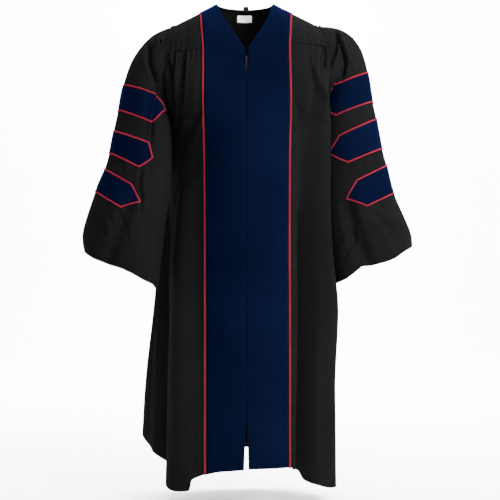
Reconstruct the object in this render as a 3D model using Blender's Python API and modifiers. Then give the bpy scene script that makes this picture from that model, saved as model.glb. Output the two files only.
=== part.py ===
"""Graduation gown, worn and hollow, held up at the neck. Metres, +Z up, -Y front, +X the wearer's left.

The origin is the middle of the neck opening, level with the two neck points. Every cloth piece is an open
surface of points, worked out from the tables below, with a Solidify that gives it its wall.
"""

import math

import bmesh
import bpy
import numpy as np
from mathutils import Vector
from mathutils.bvhtree import BVHTree

# Sides: the sign of X.
RIGHT, LEFT = -1, 1
SIDE_NAME = {RIGHT: "right", LEFT: "left"}

# Walls and gaps.
CLOTH = 0.0015
VELVET = 0.0014
PIPING = 0.0018
SEAM_TRIM = 0.0005
LAID_GAP = 0.0005

# Neck, shoulders and yokes.
CENTRE_X = 0.0023
NECK_HALF = {RIGHT: 0.081, LEFT: 0.076}
NECK_BACK_Y = 0.075
PIPE_AT_SHOULDER = 0.127
# Height of each front yoke seam at the centre line, the piping and the armhole.
YOKE_SEAM_Z = {RIGHT: (-0.149, -0.146, -0.155), LEFT: (-0.147, -0.130, -0.135)}
BACK_SEAM_Z = -0.145
# How far a yoke has gone back or forward, and down, at its turning point: shares of the whole way to its seam.
YOKE_TURN_OUT = 0.35
FRONT_TURN = {"reach": 0.75, "drop": 0.10}
BACK_TURN_AT_NECK = {"reach": 0.45, "drop": 0.30}
BACK_TURN_AT_SHOULDER = {"reach": 0.75, "drop": 0.10}

# The armhole: an ellipse seen from the side, bowed out a little at the front and the back.
ARMHOLE = {"x": 0.2095, "y": 0.005, "z": -0.187, "half_height": 0.123, "half_depth": 0.095}
ARMHOLE_LEAN = 0.006
ARMHOLE_BOW = 0.0125

# The V edge: x and y of the neckline at each height.
NECKLINE = (
    # z, right x, left x, y
    (0.000, 0.081, 0.076, 0.000),
    (-0.012, 0.077, 0.073, -0.030),
    (-0.046, 0.065, 0.063, -0.073),
    (-0.078, 0.046, 0.047, -0.095),
    (-0.117, 0.023, 0.025, -0.120),
    (-0.149, 0.003, 0.003, -0.138),
)

# The body at each height: y of the centre front and the centre back, and the side seams.
SECTIONS = (
    # z, front y, back y, right seam x, left seam x, right seam y, left seam y
    (-0.130, -0.1370, 0.118, 0.222, 0.222, 0.005, 0.005),
    (-0.200, -0.1405, 0.130, 0.222, 0.222, 0.005, 0.005),
    (-0.250, -0.1470, 0.138, 0.220, 0.220, 0.005, 0.005),
    (-0.310, -0.1520, 0.142, 0.215, 0.215, 0.005, 0.005),
    (-0.360, -0.1540, 0.143, 0.218, 0.203, 0.045, 0.010),
    (-0.420, -0.1550, 0.146, 0.226, 0.200, 0.076, 0.014),
    (-0.550, -0.1560, 0.152, 0.232, 0.201, 0.090, 0.020),
    (-0.660, -0.1570, 0.158, 0.238, 0.206, 0.090, 0.026),
    (-0.760, -0.1580, 0.162, 0.247, 0.216, 0.084, 0.032),
    (-0.860, -0.1580, 0.165, 0.256, 0.230, 0.074, 0.036),
    (-1.050, -0.1580, 0.170, 0.268, 0.238, 0.060, 0.040),
    (-1.350, -0.1580, 0.180, 0.282, 0.242, 0.055, 0.045),
)
UNDERARM_Z = -0.310

# Heading of a front level where it meets the seam: 0 is straight out, 90 straight back.
YOKE_HEADING = 38
UNDERARM_HEADING = 88
SIDE_HEADING = {RIGHT: 72, LEFT: 93}
SIDE_REACH = (0.055, 0.085)
FRONT_BREADTH = 0.56

# The gap between the two fronts: the slider's place, the closed zip and the open slit below it.
FRONT_GAP = (
    # z, width
    (-0.150, 0.0066),
    (-0.203, 0.0062),
    (-0.222, 0.0012),
    (-1.135, 0.0012),
    (-1.235, 0.0092),
    (-1.310, 0.0150),
)

# The outer edge of each velvet panel.
PIPE_X = (
    # z, right x, left x
    (-0.080, 0.122, 0.120),
    (-0.150, 0.113, 0.119),
    (-0.400, 0.112, 0.117),
    (-0.800, 0.111, 0.117),
    (-1.350, 0.106, 0.116),
)

# Height of the hem all round, by ring place: 0 centre front, 1 piping, 2 side seam, 4 centre back.
HEM = (
    # place, right z, left z
    (0.00, -1.290, -1.288),
    (1.00, -1.306, -1.289),
    (1.12, -1.326, -1.297),
    (1.22, -1.343, -1.327),
    (1.60, -1.338, -1.358),
    (1.85, -1.296, -1.352),
    (2.00, -1.266, -1.338),
    (2.20, -1.234, -1.320),
    (3.00, -1.264, -1.282),
    (4.00, -1.290, -1.290),
)
HEM_LEVEL = -1.330

# Folds on the fronts, each a line down the panel through three places; a ridge has a positive depth.
FRONT_FOLDS = (
    # side, top z, x, middle z, x, end z, x, half width, depth
    (RIGHT, -0.150, 0.168, -0.280, 0.178, -0.430, 0.186, 0.014, -0.012),
    (RIGHT, -0.150, 0.184, -0.180, 0.184, -0.230, 0.183, 0.007, -0.003),
    (RIGHT, -0.150, 0.199, -0.200, 0.196, -0.260, 0.194, 0.009, -0.006),
    (RIGHT, -0.150, 0.213, -0.210, 0.206, -0.290, 0.201, 0.009, -0.006),
    (RIGHT, -0.150, 0.130, -0.190, 0.129, -0.260, 0.127, 0.010, 0.002),
    (RIGHT, -0.300, 0.122, -0.420, 0.170, -0.540, 0.196, 0.018, -0.007),
    (LEFT, -0.130, 0.208, -0.190, 0.205, -0.260, 0.203, 0.010, -0.006),
    (LEFT, -0.130, 0.187, -0.170, 0.188, -0.220, 0.190, 0.009, -0.004),
    (LEFT, -0.150, 0.171, -0.260, 0.184, -0.360, 0.212, 0.015, -0.006),
)

# Flutes down the skirt, by ring place; each opens from its top to its full depth.
FLUTES = (
    # side, place at the top, place at the hem, half width, top z, full z, depth
    (RIGHT, 1.32, 1.30, 0.26, -0.48, -1.20, 0.026),
    (RIGHT, 1.80, 1.64, 0.16, -0.50, -1.10, -0.034),
    (RIGHT, 2.16, 2.18, 0.24, -0.70, -1.20, 0.026),
    (RIGHT, 2.45, 2.42, 0.15, -0.42, -1.20, -0.024),
    (RIGHT, 2.78, 2.74, 0.19, -0.36, -1.20, 0.024),
    (RIGHT, 3.12, 3.10, 0.16, -0.32, -1.20, -0.022),
    (RIGHT, 3.42, 3.40, 0.18, -0.30, -1.20, 0.022),
    (RIGHT, 3.72, 3.70, 0.15, -0.28, -1.20, -0.020),
    (LEFT, 1.34, 1.24, 0.18, -0.30, -0.90, -0.018),
    (LEFT, 1.66, 1.66, 0.26, -0.24, -0.42, 0.050),
    (LEFT, 1.66, 1.66, 0.26, -0.80, -1.10, -0.020),
    (LEFT, 1.98, 1.98, 0.14, -0.34, -0.80, -0.010),
    (LEFT, 2.26, 2.28, 0.18, -0.45, -1.20, 0.018),
    (LEFT, 2.58, 2.60, 0.15, -0.40, -1.20, -0.022),
    (LEFT, 2.90, 2.92, 0.18, -0.36, -1.20, 0.024),
    (LEFT, 3.24, 3.24, 0.16, -0.32, -1.20, -0.022),
    (LEFT, 3.56, 3.56, 0.18, -0.30, -1.20, 0.022),
    (LEFT, 3.84, 3.84, 0.12, -0.28, -1.20, -0.014),
)
CENTRE_BACK_FLUTE = {"half_width": 0.16, "top_z": -0.26, "full_z": -1.20, "depth": 0.018}

# Gathers in the back panel below its yoke.
BACK_GATHERS = 13
BACK_GATHER_DEPTH = 0.0035
BACK_GATHER_FULL_Z = -0.175
BACK_GATHER_END_Z = -0.330

# Ring places beside the armhole where the folds die out, and the step over which a level's direction is taken.
STILL_AT_ARMHOLE = 0.12
TANGENT_STEP = 0.01

# The sleeves as rings, from the armhole to the cuff. The inner end of a ring sags below its straight line.
SLEEVE_RINGS = {
    RIGHT: (
        # outer x, outer z, inner x, inner z, sag, centre y, half depth
        (0.2035, -0.064, 0.2155, -0.310, 0.000, 0.005, 0.095),
        (0.2380, -0.076, 0.2175, -0.312, 0.002, 0.003, 0.100),
        (0.2750, -0.102, 0.2185, -0.300, 0.017, 0.000, 0.101),
        (0.3180, -0.160, 0.2185, -0.285, 0.037, -0.006, 0.099),
        (0.3460, -0.236, 0.2170, -0.278, 0.052, -0.014, 0.096),
        (0.3570, -0.306, 0.2130, -0.354, 0.012, -0.024, 0.094),
        (0.3680, -0.364, 0.2100, -0.426, 0.000, -0.034, 0.092),
        (0.3790, -0.425, 0.2090, -0.502, 0.000, -0.042, 0.092),
        (0.3900, -0.471, 0.2130, -0.565, 0.000, -0.048, 0.093),
        (0.4155, -0.533, 0.2260, -0.638, 0.000, -0.054, 0.096),
        (0.4540, -0.645, 0.2410, -0.752, 0.000, -0.060, 0.098),
        (0.4510, -0.704, 0.2490, -0.807, 0.000, -0.062, 0.090),
    ),
    LEFT: (
        (0.2035, -0.064, 0.2155, -0.310, 0.000, 0.005, 0.095),
        (0.2450, -0.067, 0.2180, -0.311, 0.002, 0.005, 0.100),
        (0.2880, -0.084, 0.2190, -0.290, 0.026, 0.010, 0.101),
        (0.3260, -0.128, 0.2200, -0.262, 0.058, 0.016, 0.098),
        (0.3475, -0.197, 0.2200, -0.247, 0.078, 0.022, 0.094),
        (0.3617, -0.278, 0.2200, -0.324, 0.024, 0.028, 0.091),
        (0.3730, -0.325, 0.2200, -0.400, 0.000, 0.034, 0.090),
        (0.3900, -0.408, 0.2200, -0.476, 0.000, 0.038, 0.089),
        (0.4040, -0.455, 0.2210, -0.550, 0.000, 0.042, 0.089),
        (0.4200, -0.533, 0.2260, -0.630, 0.000, 0.046, 0.091),
        (0.4640, -0.640, 0.2380, -0.742, 0.000, 0.048, 0.094),
        (0.4720, -0.684, 0.2490, -0.792, 0.000, 0.046, 0.088),
    ),
}

# How close to the inner end of a ring its sag stays: the higher, the closer.
SAG_POWER = 10

# Folds on the sleeves, by angle round the ring: 0 outer, 90 front, 180 inner, -90 back.
SLEEVE_FOLDS = (
    # side, angle at the top, angle at the end, half width, first ring, last ring, depth
    (RIGHT, 108, 104, 15, 0.6, 7.6, -0.012),
    (RIGHT, 82, 80, 12, 0.0, 3.4, -0.007),
    (RIGHT, 58, 60, 12, 0.0, 2.8, -0.006),
    (RIGHT, 33, 36, 12, 0.0, 2.6, -0.005),
    (RIGHT, 8, 8, 12, 0.0, 2.4, -0.005),
    (RIGHT, 96, 70, 16, 8.4, 11.6, -0.012),
    (RIGHT, 60, 42, 13, 8.6, 11.4, -0.006),
    (RIGHT, -25, -28, 12, 0.0, 2.6, -0.005),
    (RIGHT, -50, -54, 12, 0.0, 3.0, -0.006),
    (RIGHT, -78, -80, 13, 0.0, 4.5, -0.009),
    (RIGHT, -108, -98, 16, 0.6, 8.4, -0.013),
    (RIGHT, -85, -70, 18, 8.0, 11.8, -0.012),
    (LEFT, 106, 104, 13, 0.4, 3.4, -0.007),
    (LEFT, 66, 86, 13, 0.0, 4.0, -0.012),
    (LEFT, 44, 52, 12, 0.0, 3.4, -0.006),
    (LEFT, 20, 22, 12, 0.0, 2.6, -0.005),
    (LEFT, -5, -5, 12, 0.0, 2.4, -0.005),
    (LEFT, 112, 96, 18, 8.2, 11.8, -0.013),
    (LEFT, 66, 44, 14, 8.4, 11.2, -0.006),
    (LEFT, -30, -34, 12, 0.0, 2.6, -0.005),
    (LEFT, -54, -58, 12, 0.0, 3.2, -0.006),
    (LEFT, -80, -84, 13, 0.0, 4.5, -0.009),
    (LEFT, -108, -98, 16, 0.6, 8.4, -0.013),
    (LEFT, -80, -64, 18, 8.0, 11.8, -0.012),
)

# Sleeve bars: first ring, and the mesh columns round from the outer line to a corner; the point is 2 further.
BARS = {
    RIGHT: ((4, 10), (6, 8), (8, 7)),
    LEFT: ((4, 10), (6, 9), (8, 8)),
}
BAR_PIPING = 0.0056
PIPING_TO_VELVET = 0.0004
BAR_TO_PIPING = 0.0022
BAR_CLEARANCE = 0.0004
# A bar's point is drawn in further than its long edges, so that the border keeps its width round it.
POINT_SLANT = 1.4
# Spots tried along each side of a triangle, and rounds of raising, when a bar is laid on its sleeve.
LIFT_SPOTS = 6
LIFT_ROUNDS = 16

# Mesh rows and columns.
BODY_LEVELS = (
    -0.150, -0.172, -0.196, -0.222, -0.252, -0.282, -0.310, -0.350, -0.400,
    -0.470, -0.560, -0.660, -0.760, -0.860, -0.980, -1.100, -1.220, -1.330,
)
YOKE_STEPS = (0.0, 0.12, 0.28, 0.46, 0.64, 0.82, 1.0)
VELVET_COLUMNS = 4
# Ring place of the piping's outer edge: the piping is 6.2 mm wide, and a place out there is about 115 mm.
PIPING_PLACE = 1.054
OUTER_COLUMNS = 14
BACK_COLUMNS = 26
SLEEVE_COLUMNS = 32
SLEEVE_STEPS = (0, 1, 2, 3, 4, 4.5, 5, 6, 6.5, 7, 8, 8.5, 9, 10, 11)

# Zip, label and loop.
ZIP_TOP_Z = -0.171
ZIP_END_Z = -1.130
TAPE_HALF = 0.010
TAPE = 0.0011
SLIDER = {
    "width": 0.0048, "height": 0.0110, "top_z": -0.1715, "front_y": -0.1435, "to_tape": 0.0004,
    "ear": 0.0009, "ear_half_height": 0.0014, "ear_past_pin": 0.0011, "ear_root": 0.0006,
}
PIN = {"y": -0.1452, "z": -0.1750, "radius": 0.00045}
# Heights of the pull are counted down from the pin.
PULL = {
    "width": 0.0042, "thickness": 0.0010, "top": 0.0030, "end": 0.0230,
    "neck_width": 0.0024, "neck_top": 0.0006, "neck_end": 0.0040,
    "eye_radius": 0.0013, "hole_radius": 0.0008,
}
LABEL = {"centre_x": -0.003, "half_width": 0.0225, "top_z": -0.0143, "end_z": -0.0393, "wall": 0.0010}
LOOP = {
    "half_width": 0.0058, "height": 0.0085, "foot_z": -0.0085, "foot_back": 0.0030,
    "radius": 0.0014, "clearance": 0.0012,
}

MATERIALS = {
    # name: (colour, roughness, metallic)
    "black_cloth": ((0.010, 0.010, 0.011), 0.75, 0.0),
    "navy_velvet": ((0.003, 0.006, 0.040), 0.85, 0.0),
    "red_satin": ((0.60, 0.03, 0.05), 0.40, 0.0),
    "white_label": ((0.85, 0.85, 0.85), 0.60, 0.0),
    "black_tape": ((0.006, 0.006, 0.008), 0.70, 0.0),
    "grey_metal": ((0.45, 0.46, 0.47), 0.35, 0.9),
}


def column(table, key, value):
    """A table's column read at a value of its first column, with straight lines between the rows."""
    rows = np.array(table, float)
    order = np.argsort(rows[:, 0])
    return float(np.interp(value, rows[order, 0], rows[order, key]))


def bump(distance):
    """1 at the fold's line, 0 from its half width on, with no sharp edge."""
    if abs(distance) >= 1:
        return 0.0
    return 0.5 + 0.5 * math.cos(math.pi * distance)


def ramp(value, start, end):
    """0 at the start, 1 at the end, smooth between."""
    part = min(1.0, max(0.0, (value - start) / (end - start)))
    return part * part * (3 - 2 * part)


def armhole_point(side, angle):
    """A point of the armhole: 0 degrees is the top, 90 the front, 180 the underarm, -90 the back."""
    turn = math.radians(angle)
    x = ARMHOLE["x"] - ARMHOLE_LEAN * math.cos(turn) + ARMHOLE_BOW * math.sin(turn) ** 2
    y = ARMHOLE["y"] - ARMHOLE["half_depth"] * math.sin(turn)
    z = ARMHOLE["z"] + ARMHOLE["half_height"] * math.cos(turn)
    return np.array((side * x, y, z))


def armhole_angle(z):
    """The armhole's angle at a height, counted from the top."""
    return math.degrees(math.acos(max(-1.0, min(1.0, (z - ARMHOLE["z"]) / ARMHOLE["half_height"]))))


def seam_end(side, z, face):
    """Where a level of the body ends: on the armhole above the underarm, on the side seam below it."""
    if z > UNDERARM_Z:
        point = armhole_point(side, face * armhole_angle(z))
        return abs(point[0]), point[1]
    shift = 0 if side == RIGHT else 1
    return column(SECTIONS, 3 + shift, z), column(SECTIONS, 5 + shift, z)


def half_section(side, z, face, u):
    """x from the centre line out, and y, at a part u of the way from the centre line to the seam.

    face is 1 for the front and -1 for the back.
    """
    centre_y = column(SECTIONS, 1 if face == 1 else 2, z)
    end_x, end_y = seam_end(side, z, face)
    turned = ramp(-z, 0.13, -UNDERARM_Z)
    side_heading = SIDE_HEADING[side] if face == 1 else 180 - SIDE_HEADING[side]
    heading = YOKE_HEADING + (UNDERARM_HEADING - YOKE_HEADING) * turned
    heading += (side_heading - UNDERARM_HEADING) * ramp(-z, -UNDERARM_Z, 0.42)
    heading = math.radians(heading)
    reach = SIDE_REACH[0] + (SIDE_REACH[1] - SIDE_REACH[0]) * turned
    a = np.array((0.0, centre_y))
    b = np.array((FRONT_BREADTH * end_x, centre_y))
    d = np.array((end_x, end_y))
    c = d - reach * np.array((math.cos(heading), face * math.sin(heading)))
    v = 1 - u
    return v ** 3 * a + 3 * v * v * u * b + 3 * v * u * u * c + u ** 3 * d


def place_to_part(side, z, place):
    """Ring place on the front (0 centre, 1 piping, 2 seam) as a part of the half section."""
    pipe = column(PIPE_X, 1 if side == RIGHT else 2, z)
    low, high = 0.0, 1.0
    for _ in range(30):
        middle = (low + high) / 2
        if half_section(side, z, 1, middle)[0] < pipe:
            low = middle
        else:
            high = middle
    if place <= 1:
        start = 0.5 * column(FRONT_GAP, 1, z) / pipe * low
        return start + (low - start) * place
    return low + (place - 1) * (1 - low)


def front_fold_push(side, x, z):
    push = 0.0
    for row_side, z0, x0, z1, x1, z2, x2, half_width, depth in FRONT_FOLDS:
        if row_side != side or z > z0 + 0.02 or z < z2:
            continue
        line = np.interp(-z, (-z0, -z1, -z2), (x0, x1, x2))
        fade = ramp(z, z2, z1) * (0.45 + 0.55 * ramp(-z, -z0, 0.04 - z0))
        push += depth * fade * bump((x - line) / half_width)
    return push


def flute_push(side, place, z):
    push = 0.0
    for row_side, top, hem, half_width, top_z, full_z, depth in FLUTES:
        if row_side != side:
            continue
        line = top + (hem - top) * ramp(-z, -top_z, -HEM_LEVEL)
        push += depth * ramp(-z, -top_z, -full_z) * bump((place - line) / half_width)
    centre = CENTRE_BACK_FLUTE
    push += (
        centre["depth"]
        * ramp(-z, -centre["top_z"], -centre["full_z"])
        * bump((4 - place) / centre["half_width"])
    )
    return push


def level_height(side, level, place):
    """The height of a mesh row at a ring place: the rows follow the yoke seam above and the hem below."""
    if level < UNDERARM_Z:
        hem = column(HEM, 1 if side == RIGHT else 2, place)
        return level + (hem - HEM_LEVEL) * (level - UNDERARM_Z) / (HEM_LEVEL - UNDERARM_Z)
    if place <= 2:
        seam = np.interp(place, (0, 1, 2), YOKE_SEAM_Z[side])
    else:
        seam = BACK_SEAM_Z
    top = BODY_LEVELS[0]
    return seam + (UNDERARM_Z - seam) * (level - top) / (UNDERARM_Z - top)


def body_point(side, level, place):
    """A point of the body's outer face. Places 0 to 2 are the front, 2 to 4 the back."""
    z = level_height(side, level, place)
    face = 1 if place <= 2 else -1
    if face == 1:
        u = place_to_part(side, z, place)
    else:
        u = (4 - place) / 2
    at = half_section(side, z, face, u)
    ahead = half_section(side, z, face, min(1.0, u + TANGENT_STEP))
    behind = half_section(side, z, face, max(0.0, u - TANGENT_STEP))
    along = (ahead - behind) / np.linalg.norm(ahead - behind)
    out = np.array((along[1], -along[0])) * face
    push = flute_push(side, place, z)
    if face == 1 and place > 1:
        push += front_fold_push(side, at[0], z) * ramp(place, 1.0, PIPING_PLACE)
    if face == -1:
        wave = math.cos(2 * math.pi * BACK_GATHERS * u / 2)
        fade = ramp(z, BACK_GATHER_END_Z, BACK_GATHER_FULL_Z) * ramp(1 - u, 0.0, 0.1)
        push += BACK_GATHER_DEPTH * wave * fade
    if z > UNDERARM_Z:
        push *= ramp(abs(place - 2), 0.0, STILL_AT_ARMHOLE)
    x, y = at + push * out
    return np.array((side * x + CENTRE_X * (1 - u), y, z))


def neckline_point(side, z):
    x = column(NECKLINE, 1 if side == RIGHT else 2, z)
    return np.array((side * x + CENTRE_X * ramp(-z, 0, -NECKLINE[-1][0]), column(NECKLINE, 3, z), z))


def shoulder_point(side, place):
    """The shoulder seam, from the neck point (place 0) past the piping (1) to the armhole (2)."""
    top = armhole_point(side, 0)
    half = NECK_HALF[side]
    neck = np.array((side * half, 0.0, 0.0))
    pipe = neck + (top - neck) * (PIPE_AT_SHOULDER - half) / (abs(top[0]) - half)
    if place <= 1:
        return neck + (pipe - neck) * place
    return pipe + (top - pipe) * (place - 1)


def over_shoulder(start, end, reach, drop, step):
    """A curve from the shoulder down to a yoke seam, rounding over as it goes."""
    turn = start + (end - start) * np.array((YOKE_TURN_OUT, reach, drop))
    rest = 1 - step
    return rest * rest * start + 2 * rest * step * turn + step * step * end


def front_yoke_point(side, step, place):
    """A point of the front yoke: step 0 is the shoulder seam, 1 the yoke seam."""

    def plain(at):
        seam = body_point(side, BODY_LEVELS[0], at)
        return over_shoulder(shoulder_point(side, at), seam, FRONT_TURN["reach"], FRONT_TURN["drop"], step)

    point = plain(place)
    armhole_end = armhole_angle(YOKE_SEAM_Z[side][2])
    if place > 1:
        edge = armhole_point(side, armhole_end * step)
        point = point + (edge - plain(2)) * ramp(place, 1, 2)
    else:
        edge = neckline_point(side, YOKE_SEAM_Z[side][0] * (0.28 * step + 0.72 * step * step))
        at_seam = body_point(side, BODY_LEVELS[0], 0)
        edge = edge + (at_seam - neckline_point(side, YOKE_SEAM_Z[side][0])) * step
        point = point + (edge - plain(0)) * ramp(1 - place, 0, 1)
    return point


def back_top_point(side, place):
    """The back yoke's top edge: the neck edge from the centre (4) to the neck point (3), then the shoulder."""
    if place >= 3:
        turn = math.radians(90 * (4 - place))
        return np.array((side * NECK_HALF[side] * math.sin(turn), NECK_BACK_Y * math.cos(turn), 0.0))
    return shoulder_point(side, 2 * (3 - place))


def back_yoke_point(side, step, place):
    """A point of the back yoke: step 0 is its top edge, 1 the back yoke seam."""
    at_neck, at_shoulder = BACK_TURN_AT_NECK, BACK_TURN_AT_SHOULDER
    near_shoulder = ramp(4 - place, 0.3, 1.4)
    reach = at_neck["reach"] + (at_shoulder["reach"] - at_neck["reach"]) * near_shoulder
    drop = at_neck["drop"] + (at_shoulder["drop"] - at_neck["drop"]) * near_shoulder

    def plain(at):
        seam = body_point(side, BODY_LEVELS[0], at)
        return over_shoulder(back_top_point(side, at), seam, reach, drop, step)

    point = plain(place)
    edge = armhole_point(side, -armhole_angle(BACK_SEAM_Z) * step)
    return point + (edge - plain(2.0001)) * ramp(3.2 - place, 0, 1.2)


def sleeve_ring(side, ring):
    """The sleeve's ring values at a place between the table's rows, on a smooth curve."""
    rows = np.array(SLEEVE_RINGS[side])
    last = len(rows) - 1
    i = min(int(ring), last - 1)
    t = ring - i
    before, start, end, after = (rows[min(max(i + k, 0), last)] for k in (-1, 0, 1, 2))
    return 0.5 * (
        2 * start
        + (end - before) * t
        + (2 * before - 5 * start + 4 * end - after) * t * t
        + (3 * start - before - 3 * end + after) * t ** 3
    )


def sleeve_plain(side, ring, angle):
    outer_x, outer_z, inner_x, inner_z, sag, centre_y, half_depth = sleeve_ring(side, ring)
    turn = math.radians(angle)
    inward = (1 - math.cos(turn)) / 2
    x = outer_x + (inner_x - outer_x) * inward
    z = outer_z + (inner_z - outer_z) * inward - sag * inward ** SAG_POWER
    y = centre_y - half_depth * math.sin(turn)
    point = np.array((side * x, y, z))
    if ring < 1:
        point += (armhole_point(side, angle) - np.array((side * x, y, z))) * (1 - ring)
    return point


def sleeve_point(side, ring, angle):
    """A point of the sleeve's outer face. The folds push it in toward the ring's middle."""
    point = sleeve_plain(side, ring, angle)
    push = 0.0
    for row_side, top, end, half_width, first, last, depth in SLEEVE_FOLDS:
        if row_side != side or not first < ring < last:
            continue
        line = top + (end - top) * (ring - first) / (last - first)
        away = (angle - line + 180) % 360 - 180
        fade = ramp(ring, first, first + 0.8) * ramp(-ring, -last, -last + 1.2)
        if first == 0.0:
            fade = (0.3 + 0.7 * ramp(ring, 0, 1.2)) * ramp(-ring, -last, -last + 1.4)
        push += depth * fade * bump(away / half_width)
    if push == 0.0 or ring == 0:
        return point
    middle = (sleeve_plain(side, ring, angle) + sleeve_plain(side, ring, angle + 180)) / 2
    centre = (sleeve_plain(side, ring, 0) + sleeve_plain(side, ring, 180)) / 2
    inward = point - 0.5 * (middle + centre)
    return point + push * inward / np.linalg.norm(inward)


def closer(point, toward, amount):
    """The point moved toward another by an amount in metres."""
    way = toward - point
    return point + way * (amount / np.linalg.norm(way))


def trimmed(grid, edges):
    """The grid with the named edges drawn in, so that its seam keeps a small gap."""
    grid = grid.copy()
    if "top" in edges:
        for j in range(grid.shape[1]):
            grid[0, j] = closer(grid[0, j], grid[1, j], SEAM_TRIM)
    if "bottom" in edges:
        for j in range(grid.shape[1]):
            grid[-1, j] = closer(grid[-1, j], grid[-2, j], SEAM_TRIM)
    if "first" in edges:
        for row in grid:
            row[0] = closer(row[0], row[1], SEAM_TRIM)
    if "last" in edges:
        for row in grid:
            row[-1] = closer(row[-1], row[-2], SEAM_TRIM)
    return grid


def grid_normals(grid, wrap=False):
    """Unit normals of a grid of points, from its neighbours along and down."""
    if wrap:
        along = np.roll(grid, -1, 1) - np.roll(grid, 1, 1)
    else:
        along = np.gradient(grid, axis=1)
    down = np.gradient(grid, axis=0)
    normals = np.cross(along, down)
    return normals / np.linalg.norm(normals, axis=2, keepdims=True)


def facing_out(grid, normals, inside):
    """The normals turned so that they point away from the inside point."""
    if ((grid - inside) * normals).sum() < 0:
        return -normals
    return normals


def grid_faces(rows, columns, wrap=False):
    """Triangles of a grid, always with the same diagonal, numbered row by row."""
    faces = []
    for i in range(rows - 1):
        for j in range(columns if wrap else columns - 1):
            k = (j + 1) % columns
            a, b = i * columns + j, i * columns + k
            c, d = (i + 1) * columns + k, (i + 1) * columns + j
            faces += [(a, b, c), (a, c, d)]
    return faces


def new_material(name):
    material = bpy.data.materials.get(name) or bpy.data.materials.new(name)
    colour, roughness, metallic = MATERIALS[name]
    material.use_nodes = True
    shader = material.node_tree.nodes["Principled BSDF"]
    shader.inputs["Base Color"].default_value = (*colour, 1.0)
    shader.inputs["Roughness"].default_value = roughness
    shader.inputs["Metallic"].default_value = metallic
    return material


def add_object(name, points, faces, material, collection):
    mesh = bpy.data.meshes.new(name)
    mesh.from_pydata([tuple(point) for point in points], [], faces)
    mesh.materials.append(new_material(material))
    mesh.shade_smooth()
    obj = bpy.data.objects.new(name, mesh)
    collection.objects.link(obj)
    return obj


def cloth(name, points, faces, inside, wall, outward, material, collection):
    """A cloth piece: its points and triangles, turned to face out, with a wall grown inward or outward."""
    points = np.asarray(points, float)
    corners = points[np.array(faces)]
    area = np.cross(corners[:, 1] - corners[:, 0], corners[:, 2] - corners[:, 0])
    if (area * (corners.mean(axis=1) - inside)).sum() < 0:
        faces = [face[::-1] for face in faces]
    obj = add_object(name, points, faces, material, collection)
    solid = obj.modifiers.new("Wall", "SOLIDIFY")
    solid.thickness = wall
    solid.offset = 1.0 if outward else -1.0
    return obj


def grid_cloth(name, grid, inside, wall, outward, material, collection, wrap=False):
    rows, columns = grid.shape[:2]
    faces = grid_faces(rows, columns, wrap)
    return cloth(name, grid.reshape(-1, 3), faces, inside, wall, outward, material, collection)


def body_inside(grid):
    """A point on the body's axis at the middle height of a grid."""
    return np.array((0.0, 0.0, grid[..., 2].mean()))


def front_places():
    velvet = [k / VELVET_COLUMNS for k in range(VELVET_COLUMNS + 1)]
    outer = [PIPING_PLACE + (2 - PIPING_PLACE) * k / OUTER_COLUMNS for k in range(OUTER_COLUMNS + 1)]
    return velvet + outer


def front_grid(side):
    return np.array([[body_point(side, level, at) for at in front_places()] for level in BODY_LEVELS])


def front_yoke_grid(side):
    return np.array([[front_yoke_point(side, step, at) for at in front_places()] for step in YOKE_STEPS])


def back_places(columns):
    """Side and ring place of each column of a back piece, from the right seam round to the left seam."""
    half = columns // 2
    right = [(RIGHT, 2.0001 + 1.9999 * k / half) for k in range(half)]
    left = [(LEFT, 4 - 1.9999 * k / half) for k in range(half + 1)]
    return right + left


def make_fronts(collection):
    """Front panels and yokes, with the velvet panels and piping that lie on them."""
    for side in (RIGHT, LEFT):
        label = SIDE_NAME[side]
        panel = front_grid(side)
        yoke = front_yoke_grid(side)
        yoke[-1] = panel[0]
        grid_cloth(
            f"front_{label}", trimmed(panel, ("top", "last")), body_inside(panel), CLOTH, False,
            "black_cloth", collection,
        )
        grid_cloth(
            f"yoke_front_{label}", trimmed(yoke, ("top", "bottom", "last")), body_inside(panel), CLOTH, False,
            "black_cloth", collection,
        )
        whole = np.concatenate((yoke, panel[1:]))
        normals = facing_out(whole, grid_normals(whole), body_inside(whole))
        laid = whole + LAID_GAP * normals
        velvet = laid[:, : VELVET_COLUMNS + 1].copy()
        for row in velvet:
            row[-1] = closer(row[-1], row[-2], PIPING_TO_VELVET)
        grid_cloth(
            f"velvet_{label}", trimmed(velvet, ("top",)), body_inside(whole), VELVET, True,
            "navy_velvet", collection,
        )
        piping = laid[:, VELVET_COLUMNS : VELVET_COLUMNS + 2]
        grid_cloth(
            f"piping_{label}", trimmed(piping, ("top",)), body_inside(whole), PIPING, True,
            "red_satin", collection,
        )


def make_back(collection):
    places = back_places(BACK_COLUMNS)
    panel = np.array([[body_point(side, level, at) for side, at in places] for level in BODY_LEVELS])
    grid_cloth(
        "back", trimmed(panel, ("top", "first", "last")), body_inside(panel), CLOTH, False,
        "black_cloth", collection,
    )
    yoke = np.array([[back_yoke_point(side, step, at) for side, at in places] for step in YOKE_STEPS])
    yoke[-1] = panel[0]
    yoke = trimmed(yoke, ("top", "bottom", "first", "last"))
    grid_cloth("yoke_back", yoke, np.array((0.0, 0.0, -0.10)), CLOTH, False, "black_cloth", collection)


def sleeve_grid(side):
    turns = [360 * k / SLEEVE_COLUMNS for k in range(SLEEVE_COLUMNS)]
    grid = np.array([[sleeve_point(side, ring, turn) for turn in turns] for ring in SLEEVE_STEPS])
    for j in range(SLEEVE_COLUMNS):
        grid[0, j] = closer(grid[0, j], grid[1, j], SEAM_TRIM)
    return grid


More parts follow.
